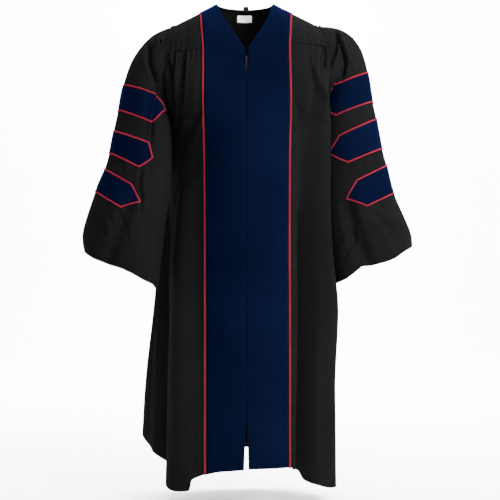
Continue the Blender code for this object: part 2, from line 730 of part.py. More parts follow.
def bar_loops(laid, row, corner):
    """A bar's outline, the places outside and inside it that its edges are drawn toward, and its middle line.

    row is the mesh row along the bar's middle, corner the last full column; the point is two columns on.
    The last value says how far each place is drawn, as a share of the width.
    """
    top, middle, bottom = laid[row - 1], laid[row], laid[row + 1]
    above, below = laid[row - 2], laid[row + 2]
    side = corner + 1
    full = range(-corner, corner + 1)

    def half_way(edge, k):
        return 0.5 * (edge[k] + middle[k])

    upper = [half_way(top, -side)] + [top[k] for k in full] + [half_way(top, side)]
    lower = [half_way(bottom, -side)] + [bottom[k] for k in full] + [half_way(bottom, side)]
    upper_out = [top[-side]] + [above[k] for k in full] + [top[side]]
    lower_out = [bottom[-side]] + [below[k] for k in full] + [bottom[side]]
    outline = upper + [middle[side + 1]] + lower[::-1] + [middle[-side - 1]]
    outside = upper_out + [middle[side + 2]] + lower_out[::-1] + [middle[-side - 2]]
    spine = [middle[k] for k in range(-side, side + 1)]
    inside = spine + [spine[-1]] + spine[::-1] + [spine[0]]
    slant = [POINT_SLANT] + [1.0] * len(full) + [POINT_SLANT]
    return outline, outside, inside, spine, slant + [POINT_SLANT] + slant + [POINT_SLANT]


def lifted(points, faces, under, outward_sign):
    """The points of a laid piece, raised until its triangles clear the cloth under them."""
    points = np.array(points)
    outward = np.array([np.array(under.find_nearest(Vector(at))[1]) for at in points]) * outward_sign
    spots = [(i, j, LIFT_SPOTS - i - j) for i in range(LIFT_SPOTS + 1) for j in range(LIFT_SPOTS + 1 - i)]
    for _ in range(LIFT_ROUNDS):
        raise_by = np.zeros(len(points))
        for face in faces:
            corners = points[list(face)]
            for spot in spots:
                at = np.average(corners, axis=0, weights=spot)
                found, normal, _, _ = under.find_nearest(Vector(at))
                height = outward_sign * np.array(normal) @ (at - np.array(found))
                short = BAR_CLEARANCE - height
                if short > 0:
                    raise_by[list(face)] = np.maximum(raise_by[list(face)], short)
        if raise_by.max() == 0:
            break
        points += outward * raise_by[:, None]
    return points


def make_bars(side, grid, inside, collection):
    """Velvet bars and their piping, from the sleeve's own points moved out."""
    faces = grid_faces(len(SLEEVE_STEPS), SLEEVE_COLUMNS, wrap=True)
    under = BVHTree.FromPolygons([Vector(point) for point in grid.reshape(-1, 3)], faces)
    corners = grid.reshape(-1, 3)[np.array(faces)]
    area = np.cross(corners[:, 1] - corners[:, 0], corners[:, 2] - corners[:, 0])
    sign = 1 if (area * (corners.mean(axis=1) - inside)).sum() > 0 else -1
    normals = facing_out(grid, grid_normals(grid, wrap=True), inside)
    laid = grid + LAID_GAP * normals
    for number, (first, corner) in enumerate(BARS[side], 1):
        row = SLEEVE_STEPS.index(first + 0.5)
        outline, outside, inward, spine, slant = bar_loops(laid, row, corner)
        count = len(outline)
        outer = [closer(p, q, BAR_PIPING * wide) for p, q, wide in zip(outline, outside, slant)]
        edge = [closer(p, q, BAR_TO_PIPING * wide) for p, q, wide in zip(outline, inward, slant)]
        ring = [(k, (k + 1) % count, count + (k + 1) % count) for k in range(count)]
        ring += [(k, count + (k + 1) % count, count + k) for k in range(count)]
        cloth(
            f"bar_piping_{SIDE_NAME[side]}_{number}", lifted(outer + outline, ring, under, sign), ring,
            inside, PIPING, True, "red_satin", collection,
        )
        faces = bar_faces(len(spine))
        cloth(
            f"bar_{SIDE_NAME[side]}_{number}", lifted(edge + spine, faces, under, sign), faces,
            inside, VELVET, True, "navy_velvet", collection,
        )


def bar_faces(across):
    """Triangles between a bar's outline and its middle line, with the sleeve's own diagonals."""
    count = 2 * across + 2
    faces = []
    for k in range(across - 1):
        faces += [(k, k + 1, count + k + 1), (k, count + k + 1, count + k)]
        near, far = count - 2 - k, count - 3 - k
        faces += [(count + k, count + k + 1, far), (count + k, far, near)]
    front = count + across - 1
    faces += [(across - 1, across, front), (across, across + 1, front)]
    faces += [(count - 2, count - 1, count), (count - 1, 0, count)]
    return faces


def make_sleeves(collection):
    for side in (RIGHT, LEFT):
        grid = sleeve_grid(side)
        inside = grid.reshape(-1, 3).mean(axis=0)
        faces = grid_faces(len(SLEEVE_STEPS), SLEEVE_COLUMNS, wrap=True)
        cloth(
            f"sleeve_{SIDE_NAME[side]}", grid.reshape(-1, 3), faces, inside, CLOTH, False,
            "black_cloth", collection,
        )
        make_bars(side, grid, inside, collection)


def front_inner_y(grid, x, z):
    """y of the inner face of a front, read off its mesh between its first two columns."""
    edge, next_column = (
        [np.interp(-z, -grid[:, j, 2], grid[:, j, axis]) for axis in (0, 1)] for j in (0, 1)
    )
    part = (x - edge[0]) / (next_column[0] - edge[0])
    return edge[1] + (next_column[1] - edge[1]) * max(0.0, part) + CLOTH


def make_zip_tape(collection):
    """The closed zip's tape, behind the edges of the two fronts."""
    grids = {side: front_grid(side) for side in (RIGHT, LEFT)}
    heights = [z for z in grids[LEFT][:, 0, 2] if ZIP_END_Z < z < ZIP_TOP_Z]
    rows = []
    for z in [ZIP_TOP_Z, *heights, ZIP_END_Z]:
        row = []
        for across in (-TAPE_HALF, 0.0, TAPE_HALF):
            x = CENTRE_X + across
            y = max(front_inner_y(grids[side], x, z) for side in (RIGHT, LEFT))
            row.append((x, y + LAID_GAP, z))
        rows.append(row)
    grid_cloth("zip_tape", np.array(rows), np.array((0, 0, -0.6)), TAPE, False, "black_tape", collection)


def box(name, low, high, material, collection):
    """A box between two corners."""
    low, high = np.array(low), np.array(high)
    mesh = bpy.data.meshes.new(name)
    shape = bmesh.new()
    bmesh.ops.create_cube(shape, size=1.0)
    for vert in shape.verts:
        vert.co = (low + high) / 2 + np.array(vert.co) * (high - low)
    shape.to_mesh(mesh)
    shape.free()
    mesh.materials.append(new_material(material))
    obj = bpy.data.objects.new(name, mesh)
    collection.objects.link(obj)
    return obj


def rod_along_x(name, centre, radius, length, material, collection):
    mesh = bpy.data.meshes.new(name)
    shape = bmesh.new()
    bmesh.ops.create_cone(
        shape, cap_ends=True, segments=12, radius1=radius, radius2=radius, depth=length,
    )
    for vert in shape.verts:
        x, y, z = vert.co
        vert.co = (centre[0] + z, centre[1] + y, centre[2] - x)
    shape.to_mesh(mesh)
    shape.free()
    mesh.materials.append(new_material(material))
    obj = bpy.data.objects.new(name, mesh)
    collection.objects.link(obj)
    return obj


def boolean(obj, other, operation):
    modifier = obj.modifiers.new(operation.title(), "BOOLEAN")
    modifier.operation = operation
    modifier.object = other
    other.hide_render = True
    other.display_type = "WIRE"


def make_slider_and_pull(collection, helpers):
    """The zip's slider, and its pull tab, which hangs from a pin between the slider's two ears."""
    half = SLIDER["width"] / 2
    end = SLIDER["top_z"] - SLIDER["height"]
    tape_y = column(SECTIONS, 1, end) + CLOTH + LAID_GAP
    pin = (CENTRE_X, PIN["y"], PIN["z"])
    slider = box(
        "zip_slider", (CENTRE_X - half, SLIDER["front_y"], end),
        (CENTRE_X + half, tape_y - SLIDER["to_tape"], SLIDER["top_z"]), "grey_metal", collection,
    )
    for side in (RIGHT, LEFT):
        edges = sorted((CENTRE_X + side * half, CENTRE_X + side * (half - SLIDER["ear"])))
        low = (edges[0], PIN["y"] - SLIDER["ear_past_pin"], PIN["z"] - SLIDER["ear_half_height"])
        high = (edges[1], SLIDER["front_y"] + SLIDER["ear_root"], PIN["z"] + SLIDER["ear_half_height"])
        boolean(slider, box(f"ear_{SIDE_NAME[side]}", low, high, "grey_metal", helpers), "UNION")
    length = SLIDER["width"] - SLIDER["ear"]
    boolean(slider, rod_along_x("pin", pin, PIN["radius"], length, "grey_metal", helpers), "UNION")

    def flat(name, width, top, finish, target):
        low = (CENTRE_X - width / 2, PIN["y"] - PULL["thickness"] / 2, PIN["z"] - finish)
        high = (CENTRE_X + width / 2, PIN["y"] + PULL["thickness"] / 2, PIN["z"] - top)
        return box(name, low, high, "grey_metal", target)

    neck = PULL["neck_width"]
    pull = flat("zip_pull", PULL["width"], PULL["top"], PULL["end"], collection)
    boolean(pull, flat("neck", neck, PULL["neck_top"], PULL["neck_end"], helpers), "UNION")
    boolean(pull, rod_along_x("eye", pin, PULL["eye_radius"], neck, "grey_metal", helpers), "UNION")
    boolean(pull, rod_along_x("hole", pin, PULL["hole_radius"], 2 * neck, "grey_metal", helpers), "DIFFERENCE")


def make_label(collection):
    """The woven label, flat on the inside of the back yoke."""
    rows = []
    for z in np.linspace(LABEL["top_z"], LABEL["end_z"], 4):
        row = []
        for x in np.linspace(-LABEL["half_width"], LABEL["half_width"], 7):
            x += LABEL["centre_x"]
            side = LEFT if x > 0 else RIGHT
            place = 4 - math.degrees(math.asin(abs(x) / NECK_HALF[side])) / 90
            low, high = 0.0, 1.0
            for _ in range(30):
                middle = (low + high) / 2
                if back_yoke_point(side, middle, place)[2] > z:
                    low = middle
                else:
                    high = middle
            point = back_yoke_point(side, low, place)
            row.append((x, point[1], z))
        rows.append(row)
    grid = np.array(rows)
    normals = facing_out(grid, grid_normals(grid), np.array((0.0, 0.0, -0.03)))
    grid = grid - (CLOTH + 2 * LAID_GAP) * normals
    grid_cloth(
        "neck_label", grid, np.array((0.0, 0.0, -0.03)), LABEL["wall"], False, "white_label", collection
    )


def make_loop(collection):
    """The hanging loop, a narrow cord whose two feet are sewn inside the back neck."""
    curve = bpy.data.curves.new("hang_loop", "CURVE")
    curve.dimensions = "3D"
    curve.bevel_depth = LOOP["radius"]
    curve.bevel_resolution = 2
    curve.use_fill_caps = True
    curve.materials.append(new_material("black_tape"))
    y = NECK_BACK_Y - CLOTH - LOOP["radius"] - LOOP["clearance"]
    points = [(-LOOP["half_width"], y + LOOP["foot_back"], LOOP["foot_z"])]
    for k in range(13):
        turn = math.pi * (1 - k / 12)
        x = LOOP["half_width"] * math.cos(turn)
        z = (LOOP["height"] - LOOP["radius"]) * math.sin(turn)
        points.append((x, y, z))
    points.append((LOOP["half_width"], y + LOOP["foot_back"], LOOP["foot_z"]))
    spline = curve.splines.new("POLY")
    spline.points.add(len(points) - 1)
    for slot, point in zip(spline.points, points):
        slot.co = (*point, 1.0)
    obj = bpy.data.objects.new("hang_loop", curve)
    collection.objects.link(obj)


def main():
    for obj in list(bpy.data.objects):
        bpy.data.objects.remove(obj, do_unlink=True)
    gown = bpy.data.collections.new("graduation_gown")
    bpy.context.scene.collection.children.link(gown)
    helpers = bpy.data.collections.new("gown_helpers")
    bpy.context.scene.collection.children.link(helpers)
    make_fronts(gown)
    make_back(gown)
    make_sleeves(gown)
    make_zip_tape(gown)
    make_slider_and_pull(gown, helpers)
    make_label(gown)
    make_loop(gown)


main()
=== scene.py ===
"""Looks of the graduation gown: cloth shells with their folds and hems, velvet, piping, sewing and the zip's
small parts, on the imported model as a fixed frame. Metres, +Z up, -Y front, +X the wearer's left.
"""

import math

import bmesh
import bpy
import numpy as np
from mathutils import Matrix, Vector


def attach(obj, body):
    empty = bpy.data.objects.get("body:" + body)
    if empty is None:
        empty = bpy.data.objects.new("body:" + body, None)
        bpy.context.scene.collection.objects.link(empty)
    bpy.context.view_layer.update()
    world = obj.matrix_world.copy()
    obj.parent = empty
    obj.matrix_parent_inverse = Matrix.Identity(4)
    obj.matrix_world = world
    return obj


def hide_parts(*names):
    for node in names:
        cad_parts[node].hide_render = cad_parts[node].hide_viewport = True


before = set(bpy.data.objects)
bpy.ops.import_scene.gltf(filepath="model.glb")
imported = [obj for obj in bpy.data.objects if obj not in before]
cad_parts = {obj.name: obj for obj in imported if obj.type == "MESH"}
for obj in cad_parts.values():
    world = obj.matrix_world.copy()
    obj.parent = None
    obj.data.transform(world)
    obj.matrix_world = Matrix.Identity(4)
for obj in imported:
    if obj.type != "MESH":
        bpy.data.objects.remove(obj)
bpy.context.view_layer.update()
GOWN = "gown"

# Sides: the sign of X.
RIGHT, LEFT = -1, 1
SIDE_NAME = {RIGHT: "right", LEFT: "left"}

# Walls and gaps.
CLOTH = 0.0015
LAID_GAP = 0.0005

# Neck, shoulders and yokes.
CENTRE_X = 0.0023
NECK_HALF = {RIGHT: 0.081, LEFT: 0.076}
NECK_BACK_Y = 0.075
PIPE_AT_SHOULDER = 0.127
# Height of each front yoke seam at the centre line, the piping and the armhole.
YOKE_SEAM_Z = {RIGHT: (-0.149, -0.1465, -0.158), LEFT: (-0.147, -0.130, -0.135)}
BACK_SEAM_Z = -0.145
# How far a yoke has gone out, back or forward, and down at its turning point: shares of the way to its seam.
YOKE_TURN_OUT = 0.35
FRONT_TURN = {"reach": 0.75, "drop": 0.10}
BACK_TURN_AT_NECK = {"reach": 0.45, "drop": 0.30}
BACK_TURN_AT_SHOULDER = {"reach": 0.75, "drop": 0.10}

# The armhole: an ellipse seen from the side, bowed out a little at the front and the back.
ARMHOLE = {"x": 0.2095, "y": 0.005, "z": -0.187, "half_height": 0.123, "half_depth": 0.095}
ARMHOLE_LEAN = 0.006
ARMHOLE_BOW = 0.0125
MORE_BOW_IN_FRONT = 0.013

# The V edge: x and y of the neckline at each height.
NECKLINE = (
    # z, right x, left x, y
    (0.000, 0.081, 0.076, 0.000),
    (-0.012, 0.077, 0.073, -0.030),
    (-0.046, 0.065, 0.063, -0.073),
    (-0.078, 0.046, 0.047, -0.095),
    (-0.117, 0.023, 0.025, -0.120),
    (-0.149, 0.003, 0.003, -0.138),
)

# The body at each height: y of the centre front and the centre back, and the side seams.
SECTIONS = (
    # z, front y, back y, right seam x, left seam x, right seam y, left seam y
    (-0.130, -0.1370, 0.118, 0.222, 0.222, 0.005, 0.005),
    (-0.200, -0.1405, 0.130, 0.222, 0.222, 0.005, 0.005),
    (-0.250, -0.1470, 0.138, 0.220, 0.220, 0.005, 0.005),
    (-0.310, -0.1520, 0.142, 0.215, 0.215, 0.005, 0.005),
    (-0.330, -0.1530, 0.1425, 0.222, 0.210, 0.018, 0.007),
    (-0.360, -0.1540, 0.143, 0.226, 0.203, 0.045, 0.010),
    (-0.420, -0.1550, 0.146, 0.231, 0.200, 0.076, 0.014),
    (-0.550, -0.1560, 0.152, 0.234, 0.201, 0.090, 0.020),
    (-0.660, -0.1570, 0.158, 0.2435, 0.206, 0.090, 0.026),
    (-0.760, -0.1580, 0.162, 0.2535, 0.216, 0.084, 0.032),
    (-0.860, -0.1580, 0.165, 0.257, 0.230, 0.074, 0.036),
    (-1.050, -0.1580, 0.170, 0.268, 0.238, 0.060, 0.040),
    (-1.350, -0.1580, 0.180, 0.282, 0.242, 0.055, 0.045),
)
UNDERARM_Z = -0.310

# Heading of a front level where it meets the seam: 0 is straight out, 90 straight back.
YOKE_HEADING = 38
UNDERARM_HEADING = 88
SIDE_HEADING = {RIGHT: 72, LEFT: 93}
SIDE_REACH = (0.055, 0.085)
FRONT_BREADTH = 0.56
# Heights between which the heading turns, and the part of a level from which it bends to its true end.
HEADING_TURNS = (-0.13, UNDERARM_Z, -0.42)
BENDS_FROM = 0.72
# Heights over which a level's end is evened out, away from the seam itself.
EVEN_OVER = (-0.045, -0.034, -0.023, -0.012, 0.0, 0.012, 0.023, 0.034, 0.045)

# The gap between the two fronts: the slider's place, the closed zip and the open slit below it.
FRONT_GAP = (
    # z, width
    (-0.150, 0.0066),
    (-0.203, 0.0062),
    (-0.222, 0.0012),
    (-1.135, 0.0012),
    (-1.235, 0.0078),
    (-1.310, 0.0118),
)

# The outer edge of each velvet panel.
PIPE_X = (
    # z, right x, left x
    (-0.080, 0.122, 0.119),
    (-0.150, 0.113, 0.1145),
    (-0.300, 0.112, 0.1165),
    (-0.400, 0.110, 0.1150),
    (-0.800, 0.106, 0.1130),
    (-1.350, 0.104, 0.1125),
)

# Height of the hem all round, by ring place: 0 centre front, 1 piping, 2 side seam, 4 centre back.
HEM = (
    # place, right z, left z
    (0.00, -1.290, -1.288),
    (1.00, -1.306, -1.289),
    (1.12, -1.319, -1.297),
    (1.142, -1.325, -1.300),
    (1.158, -1.352, -1.302),
    (1.30, -1.357, -1.311),
    (1.345, -1.356, -1.338),
    (1.45, -1.353, -1.352),
    (1.60, -1.338, -1.362),
    (1.70, -1.316, -1.362),
    (1.85, -1.277, -1.356),
    (2.00, -1.253, -1.338),
    (2.20, -1.232, -1.320),
    (3.00, -1.264, -1.282),
    (4.00, -1.290, -1.290),
)
HEM_LEVEL = -1.330

# Folds on the fronts, each a line down the panel through three places; a ridge has a positive depth.
FRONT_FOLDS = (
    # side, top z, x, middle z, x, end z, x, half width, depth
    (RIGHT, -0.150, 0.168, -0.280, 0.176, -0.400, 0.184, 0.012, -0.006),
    (RIGHT, -0.150, 0.184, -0.180, 0.184, -0.230, 0.183, 0.007, -0.003),
    (RIGHT, -0.150, 0.199, -0.200, 0.196, -0.260, 0.194, 0.009, -0.006),
    (RIGHT, -0.150, 0.213, -0.210, 0.206, -0.290, 0.201, 0.009, -0.006),
    (RIGHT, -0.150, 0.130, -0.190, 0.129, -0.260, 0.127, 0.010, 0.002),
    (RIGHT, -0.300, 0.122, -0.420, 0.170, -0.540, 0.196, 0.018, -0.007),
    (LEFT, -0.130, 0.208, -0.190, 0.205, -0.260, 0.203, 0.010, -0.006),
    (LEFT, -0.130, 0.187, -0.170, 0.188, -0.220, 0.190, 0.009, -0.004),
    (LEFT, -0.150, 0.171, -0.260, 0.184, -0.360, 0.212, 0.015, -0.006),
)

# Flutes down the skirt, by ring place; each opens from its top to its full depth.
FLUTES = (
    # side, place at the top, place at the hem, half width, top z, full z, depth
    (RIGHT, 1.34, 1.30, 0.28, -0.28, -0.76, 0.028),
    (RIGHT, 1.84, 1.68, 0.20, -0.46, -0.95, -0.052),
    (RIGHT, 2.16, 2.18, 0.30, -0.60, -1.20, 0.022),
    (RIGHT, 2.45, 2.42, 0.15, -0.42, -1.20, -0.024),
    (RIGHT, 2.78, 2.74, 0.19, -0.36, -1.20, 0.024),
    (RIGHT, 3.12, 3.10, 0.16, -0.32, -1.20, -0.022),
    (RIGHT, 3.42, 3.40, 0.18, -0.30, -1.20, 0.022),
    (RIGHT, 3.72, 3.70, 0.15, -0.28, -1.20, -0.020),
    (LEFT, 1.36, 1.26, 0.19, -0.30, -0.86, -0.054),
    (LEFT, 1.66, 1.66, 0.26, -0.17, -0.38, 0.048),
    (LEFT, 1.66, 1.66, 0.26, -0.80, -1.10, -0.020),
    (LEFT, 1.98, 1.98, 0.14, -0.34, -0.80, -0.010),
    (LEFT, 2.26, 2.28, 0.18, -0.45, -1.20, 0.018),
    (LEFT, 2.58, 2.60, 0.15, -0.40, -1.20, -0.022),
    (LEFT, 2.90, 2.92, 0.18, -0.36, -1.20, 0.024),
    (LEFT, 3.24, 3.24, 0.16, -0.32, -1.20, -0.022),
    (LEFT, 3.56, 3.56, 0.18, -0.30, -1.20, 0.022),
    (LEFT, 3.84, 3.84, 0.12, -0.28, -1.20, -0.014),
)
CENTRE_BACK_FLUTE = {"half_width": 0.16, "top_z": -0.26, "full_z": -1.20, "depth": 0.018}

# Gathers in the back panel below its yoke.
BACK_GATHERS = 13
BACK_GATHER_DEPTH = 0.0035
BACK_GATHER_FULL_Z = -0.175
BACK_GATHER_END_Z = -0.330

# How many ring places from the armhole the folds die out.
STILL_AT_ARMHOLE = 0.12
# The step over which a level's direction is taken.
TANGENT_STEP = 0.01
# Ring place of the back pieces' side edges.
JUST_BEHIND_SEAM = 2.0001

# The sleeves as rings, from the armhole to the cuff. The inner end of a ring sags below its straight line.
SLEEVE_RINGS = {
    RIGHT: (
        # outer x, outer z, inner x, inner z, sag, centre y, half depth
        (0.2035, -0.064, 0.2155, -0.310, 0.000, 0.005, 0.095),
        (0.2380, -0.076, 0.2175, -0.312, 0.002, 0.003, 0.100),
        (0.2750, -0.102, 0.2185, -0.300, 0.017, 0.000, 0.101),
        (0.3180, -0.160, 0.2185, -0.285, 0.037, -0.006, 0.099),
        (0.3460, -0.236, 0.2140, -0.278, 0.052, -0.014, 0.096),
        (0.3600, -0.306, 0.2075, -0.354, 0.012, -0.024, 0.094),
        (0.3720, -0.364, 0.2060, -0.426, 0.000, -0.034, 0.092),
        (0.3830, -0.425, 0.2070, -0.502, 0.000, -0.042, 0.092),
        (0.3950, -0.471, 0.2130, -0.565, 0.000, -0.048, 0.093),
        (0.4200, -0.533, 0.2245, -0.638, 0.000, -0.054, 0.096),
        (0.4550, -0.645, 0.2360, -0.752, 0.000, -0.060, 0.098),
        (0.4510, -0.704, 0.2430, -0.807, 0.000, -0.062, 0.090),
    ),
    LEFT: (
        (0.2035, -0.064, 0.2155, -0.310, 0.000, 0.005, 0.095),
        (0.2450, -0.067, 0.2180, -0.311, 0.002, 0.005, 0.100),
        (0.2880, -0.084, 0.2190, -0.290, 0.026, 0.010, 0.101),
        (0.3260, -0.128, 0.2200, -0.262, 0.058, 0.016, 0.098),
        (0.3475, -0.197, 0.2200, -0.247, 0.078, 0.022, 0.094),
        (0.3617, -0.278, 0.2160, -0.324, 0.024, 0.028, 0.091),
        (0.3730, -0.325, 0.2130, -0.400, 0.000, 0.034, 0.090),
        (0.3900, -0.408, 0.2130, -0.476, 0.000, 0.038, 0.089),
        (0.4040, -0.455, 0.2140, -0.550, 0.000, 0.042, 0.089),
        (0.4250, -0.533, 0.2190, -0.630, 0.000, 0.046, 0.091),
        (0.4710, -0.640, 0.2330, -0.742, 0.000, 0.048, 0.094),
        (0.4780, -0.684, 0.2490, -0.792, 0.000, 0.046, 0.088),
    ),
}

# How close to the inner end of a ring its sag stays: the higher, the closer.
SAG_POWER = 10
# How flat a ring's front and back are: 1 is an ellipse, less is flatter.
FLATNESS = 0.76
# How far a sleeve's inner side stands forward, as a slope.
SLEEVE_TURN = {RIGHT: 0.26, LEFT: 0.0}

# Folds on the sleeves, by angle round the ring: 0 outer, 90 front, 180 inner, -90 back.
SLEEVE_FOLDS = (
    # side, angle at the top, angle at the end, half width, first ring, last ring, depth
    (RIGHT, 108, 104, 15, 0.6, 7.6, -0.012),
    (RIGHT, 82, 80, 12, 0.0, 3.4, -0.007),
    (RIGHT, 58, 60, 12, 0.0, 2.8, -0.006),
    (RIGHT, 33, 36, 12, 0.0, 2.6, -0.005),
    (RIGHT, 8, 8, 12, 0.0, 2.4, -0.005),
    (RIGHT, 96, 70, 16, 8.4, 11.6, -0.012),
    (RIGHT, 60, 42, 13, 8.6, 11.4, -0.006),
    (RIGHT, -25, -28, 12, 0.0, 2.6, -0.005),
    (RIGHT, -50, -54, 12, 0.0, 3.0, -0.006),
    (RIGHT, -78, -80, 13, 0.0, 4.5, -0.009),
    (RIGHT, -108, -98, 16, 0.6, 8.4, -0.013),
    (RIGHT, -85, -70, 18, 8.0, 11.8, -0.012),
    (LEFT, 106, 104, 13, 0.4, 3.4, -0.007),
    (LEFT, 66, 86, 13, 0.0, 4.0, -0.012),
    (LEFT, 44, 52, 12, 0.0, 3.4, -0.006),
    (LEFT, 20, 22, 12, 0.0, 2.6, -0.005),
    (LEFT, -5, -5, 12, 0.0, 2.4, -0.005),
    (LEFT, 112, 96, 18, 8.2, 11.8, -0.013),
    (LEFT, 66, 44, 14, 8.4, 11.2, -0.006),
    (LEFT, -30, -34, 12, 0.0, 2.6, -0.005),
    (LEFT, -54, -58, 12, 0.0, 3.2, -0.006),
    (LEFT, -80, -84, 13, 0.0, 4.5, -0.009),
    (LEFT, -108, -98, 16, 0.6, 8.4, -0.013),
    (LEFT, -80, -64, 18, 8.0, 11.8, -0.012),
)

# Sleeve bars: the front corners as ring and angle round the sleeve; the back end is the same on every bar.
BARS = {
    # first ring, upper corners, point, lower corner
    RIGHT: (
        (4, ((4.0, 124),), (4.27, 149), (5.12, 113)),
        (6, ((6.0, 108),), (6.50, 117), (7.07, 94)),
        (8, ((8.05, 87),), (8.55, 107), (9.03, 81)),
    ),
    LEFT: (
        (4, ((4.04, 105), (3.90, 121), (3.40, 127)), (4.5, 158), (5.1, 121)),
        (6, ((6.0, 113),), (6.45, 138), (7.05, 100)),
        (8, ((8.0, 89),), (8.47, 109), (9.0, 80)),
    ),
}
BAR_BACK_CORNER = 106
BAR_BACK_POINT = 128
# Angle up to which a bar's edges run level, from the back.
BAR_STRAIGHT_TO = 40
BAR_ROWS = 21
BAR_WALL = 0.0006
BAR_LIFT = 0.0007
BAR_PUFF = 0.0010

# Piping, and the ring place of its outer edge.
PIPING = {"width": 0.0058, "height": 0.0026, "lift": 0.0004}
BAR_PIPING = {"width": 0.0050, "height": 0.0024, "lift": 0.0003}
PIPING_PLACE = 1.054
STRIP_SIDES = 8
STRIP_SUNK = 0.0002

# Zip, label and loop.
ZIP_TOP_Z = -0.171
ZIP_END_Z = -1.130
TAPE = 0.0011
TOOTH = {
    "pitch": 0.0026, "shift": 0.0006, "first_z": ZIP_TOP_Z - 0.014,
    "x": (-0.0022, 0.0022), "y": (-0.0004, 0.0012), "z": (-0.0007, 0.0007),
}
LABEL = {
    "centre_x": -0.004, "half_width": 0.0215, "top_z": -0.0158, "end_z": -0.0350, "corner": 0.0030,
    "gap": 0.0022, "unevenness": 0.0003, "wall": 0.0005, "rows": 14, "columns": 27,
}
LOOP = {
    "half_width_at_top": 0.0066, "wider_at_foot": 0.0016, "height": 0.0085, "foot_z": -0.0085,
    "radius": 0.0014, "clearance": 0.0012, "fold": 0.0011, "wall": 0.0006, "leg_rows": 14,
}

BODY_TOP = -0.150

# Points inside the gown: faces are turned away from them.
INSIDE_BODY = np.array((0.0, 0.0, -0.75))
INSIDE_YOKE = np.array((0.0, 0.0, -0.10))
INSIDE_NECK = np.array((0.0, 0.0, -0.03))

# Mesh rows and columns: closer above ROWS_CHANGE_Z, and on a sleeve above ROWS_CHANGE_RING.
TOP_STEP = 0.0042
SKIRT_STEP = 0.0088
ROWS_CHANGE_Z = -0.360
ROWS_CHANGE_RING = 5.5
# Heights of the last rows over the hem.
HEM_ROWS = (0.024, 0.016, 0.009, 0.004, 0.0)
COLUMNS_UNDER_VELVET = 8
FRONT_COLUMNS = 112
VELVET_COLUMNS = 20
BACK_COLUMNS = 184
YOKE_ROWS = 30
SLEEVE_ROWS = (110, 80)
SLEEVE_COLUMNS = (146, 90)

# Cloth thickness, and how the edges are turned under.
WALL = 0.0008
VELVET_WALL = 0.0012
VELVET_LIFT = 0.0019
HEM_RADIUS = 0.0011
HEM_UNDER = 0.022
VELVET_RADIUS = 0.0017
VELVET_UNDER = 0.014
ROLL_STEPS = 5
YOKE_RADIUS = 0.0009
YOKE_UNDER = 0.008
YOKE_EDGE_LIFT = 0.0006
# An edge that lies under its neighbour: how deep, and how far past its line.
TUCK = 0.0014
TUCK_REACH = 0.006
TUCK_REACH_SHORT = 0.005

# The mesh rows that carry stitches, and how far the yokes' stitches are lifted.
HEM_STITCH_ROW = -4
YOKE_STITCH_ROW = -2
CUFF_STITCH_ROW = -6
STITCH_LIFT = 0.0003

# The studio's floor and wall.
STAGE = {
    "front_y": -6.0, "curve_y": 3.8, "radius": 1.6, "height": 7.0, "half_width": 9.0, "floor_z": -1.405,
}

# Creases seen from the front, each a line down the cloth through x and z. The slow side of a crease is the
# side toward which it opens: 1 is the inner side, -1 the outer, 0 both.
FRONT_LINES = (
    # side, depth, width, slow side, points
    (RIGHT, 0.014, 0.0055, 0, (
        (0.2138, -0.148), (0.2138, -0.1613), (0.2122, -0.1841), (0.205, -0.2227), (0.2023, -0.2549),
        (0.2038, -0.2805), (0.2029, -0.3108),
    )),
    (RIGHT, 0.007, 0.0038, 0, ((0.1962, -0.15), (0.1977, -0.1852), (0.2005, -0.2132), (0.1995, -0.2386))),
    (RIGHT, 0.003, 0.003, 0, ((0.1799, -0.148), (0.1763, -0.1954))),
    (RIGHT, 0.013, 0.007, -1, (
        (0.1652, -0.148), (0.1689, -0.188), (0.1716, -0.2328), (0.1739, -0.273), (0.1834, -0.318),
        (0.193, -0.3704),
    )),
    (RIGHT, 0.006, 0.01, 0, (
        (0.1214, -0.3155), (0.1468, -0.3467), (0.1674, -0.373), (0.183, -0.404), (0.194, -0.4467),
        (0.2053, -0.4979),
    )),
    (RIGHT, 0.002, 0.009, 0, ((0.1206, -0.277), (0.1557, -0.318), (0.1749, -0.3395))),
    (RIGHT, 0.004, 0.012, 0, ((0.1217, -0.4645), (0.1618, -0.5), (0.1854, -0.5426), (0.1983, -0.597))),
    (RIGHT, 0.0022, 0.003, 0, ((0.1539, -0.148), (0.1526, -0.1797))),
    (RIGHT, 0.0022, 0.003, 0, ((0.1372, -0.148), (0.1378, -0.1764))),
    (RIGHT, 0.003, 0.006, 0, ((0.1635, -1.1398), (0.1547, -1.1641), (0.1594, -1.1927))),
    (RIGHT, 0.0022, 0.006, 0, ((0.1393, -1.1748), (0.1372, -1.242), (0.1438, -1.3232))),
    (LEFT, 0.01, 0.0055, 1, ((0.2172, -0.13), (0.222, -0.1583), (0.2189, -0.184), (0.2175, -0.2124))),
    (LEFT, 0.003, 0.005, 0, (
        (0.1734, -0.1665), (0.1852, -0.2244), (0.1977, -0.2847), (0.212, -0.3083), (0.2223, -0.3351),
    )),
    (LEFT, 0.003, 0.003, 0, ((0.2074, -0.131), (0.2119, -0.1476), (0.209, -0.1681))),
    (LEFT, 0.0022, 0.0026, 0, ((0.1972, -0.131), (0.1985, -0.1519))),
    (LEFT, 0.006, 0.011, 0, (
        (0.1321, -0.2923), (0.1486, -0.3225), (0.1549, -0.3772), (0.164, -0.4451), (0.1667, -0.5177),
    )),
)
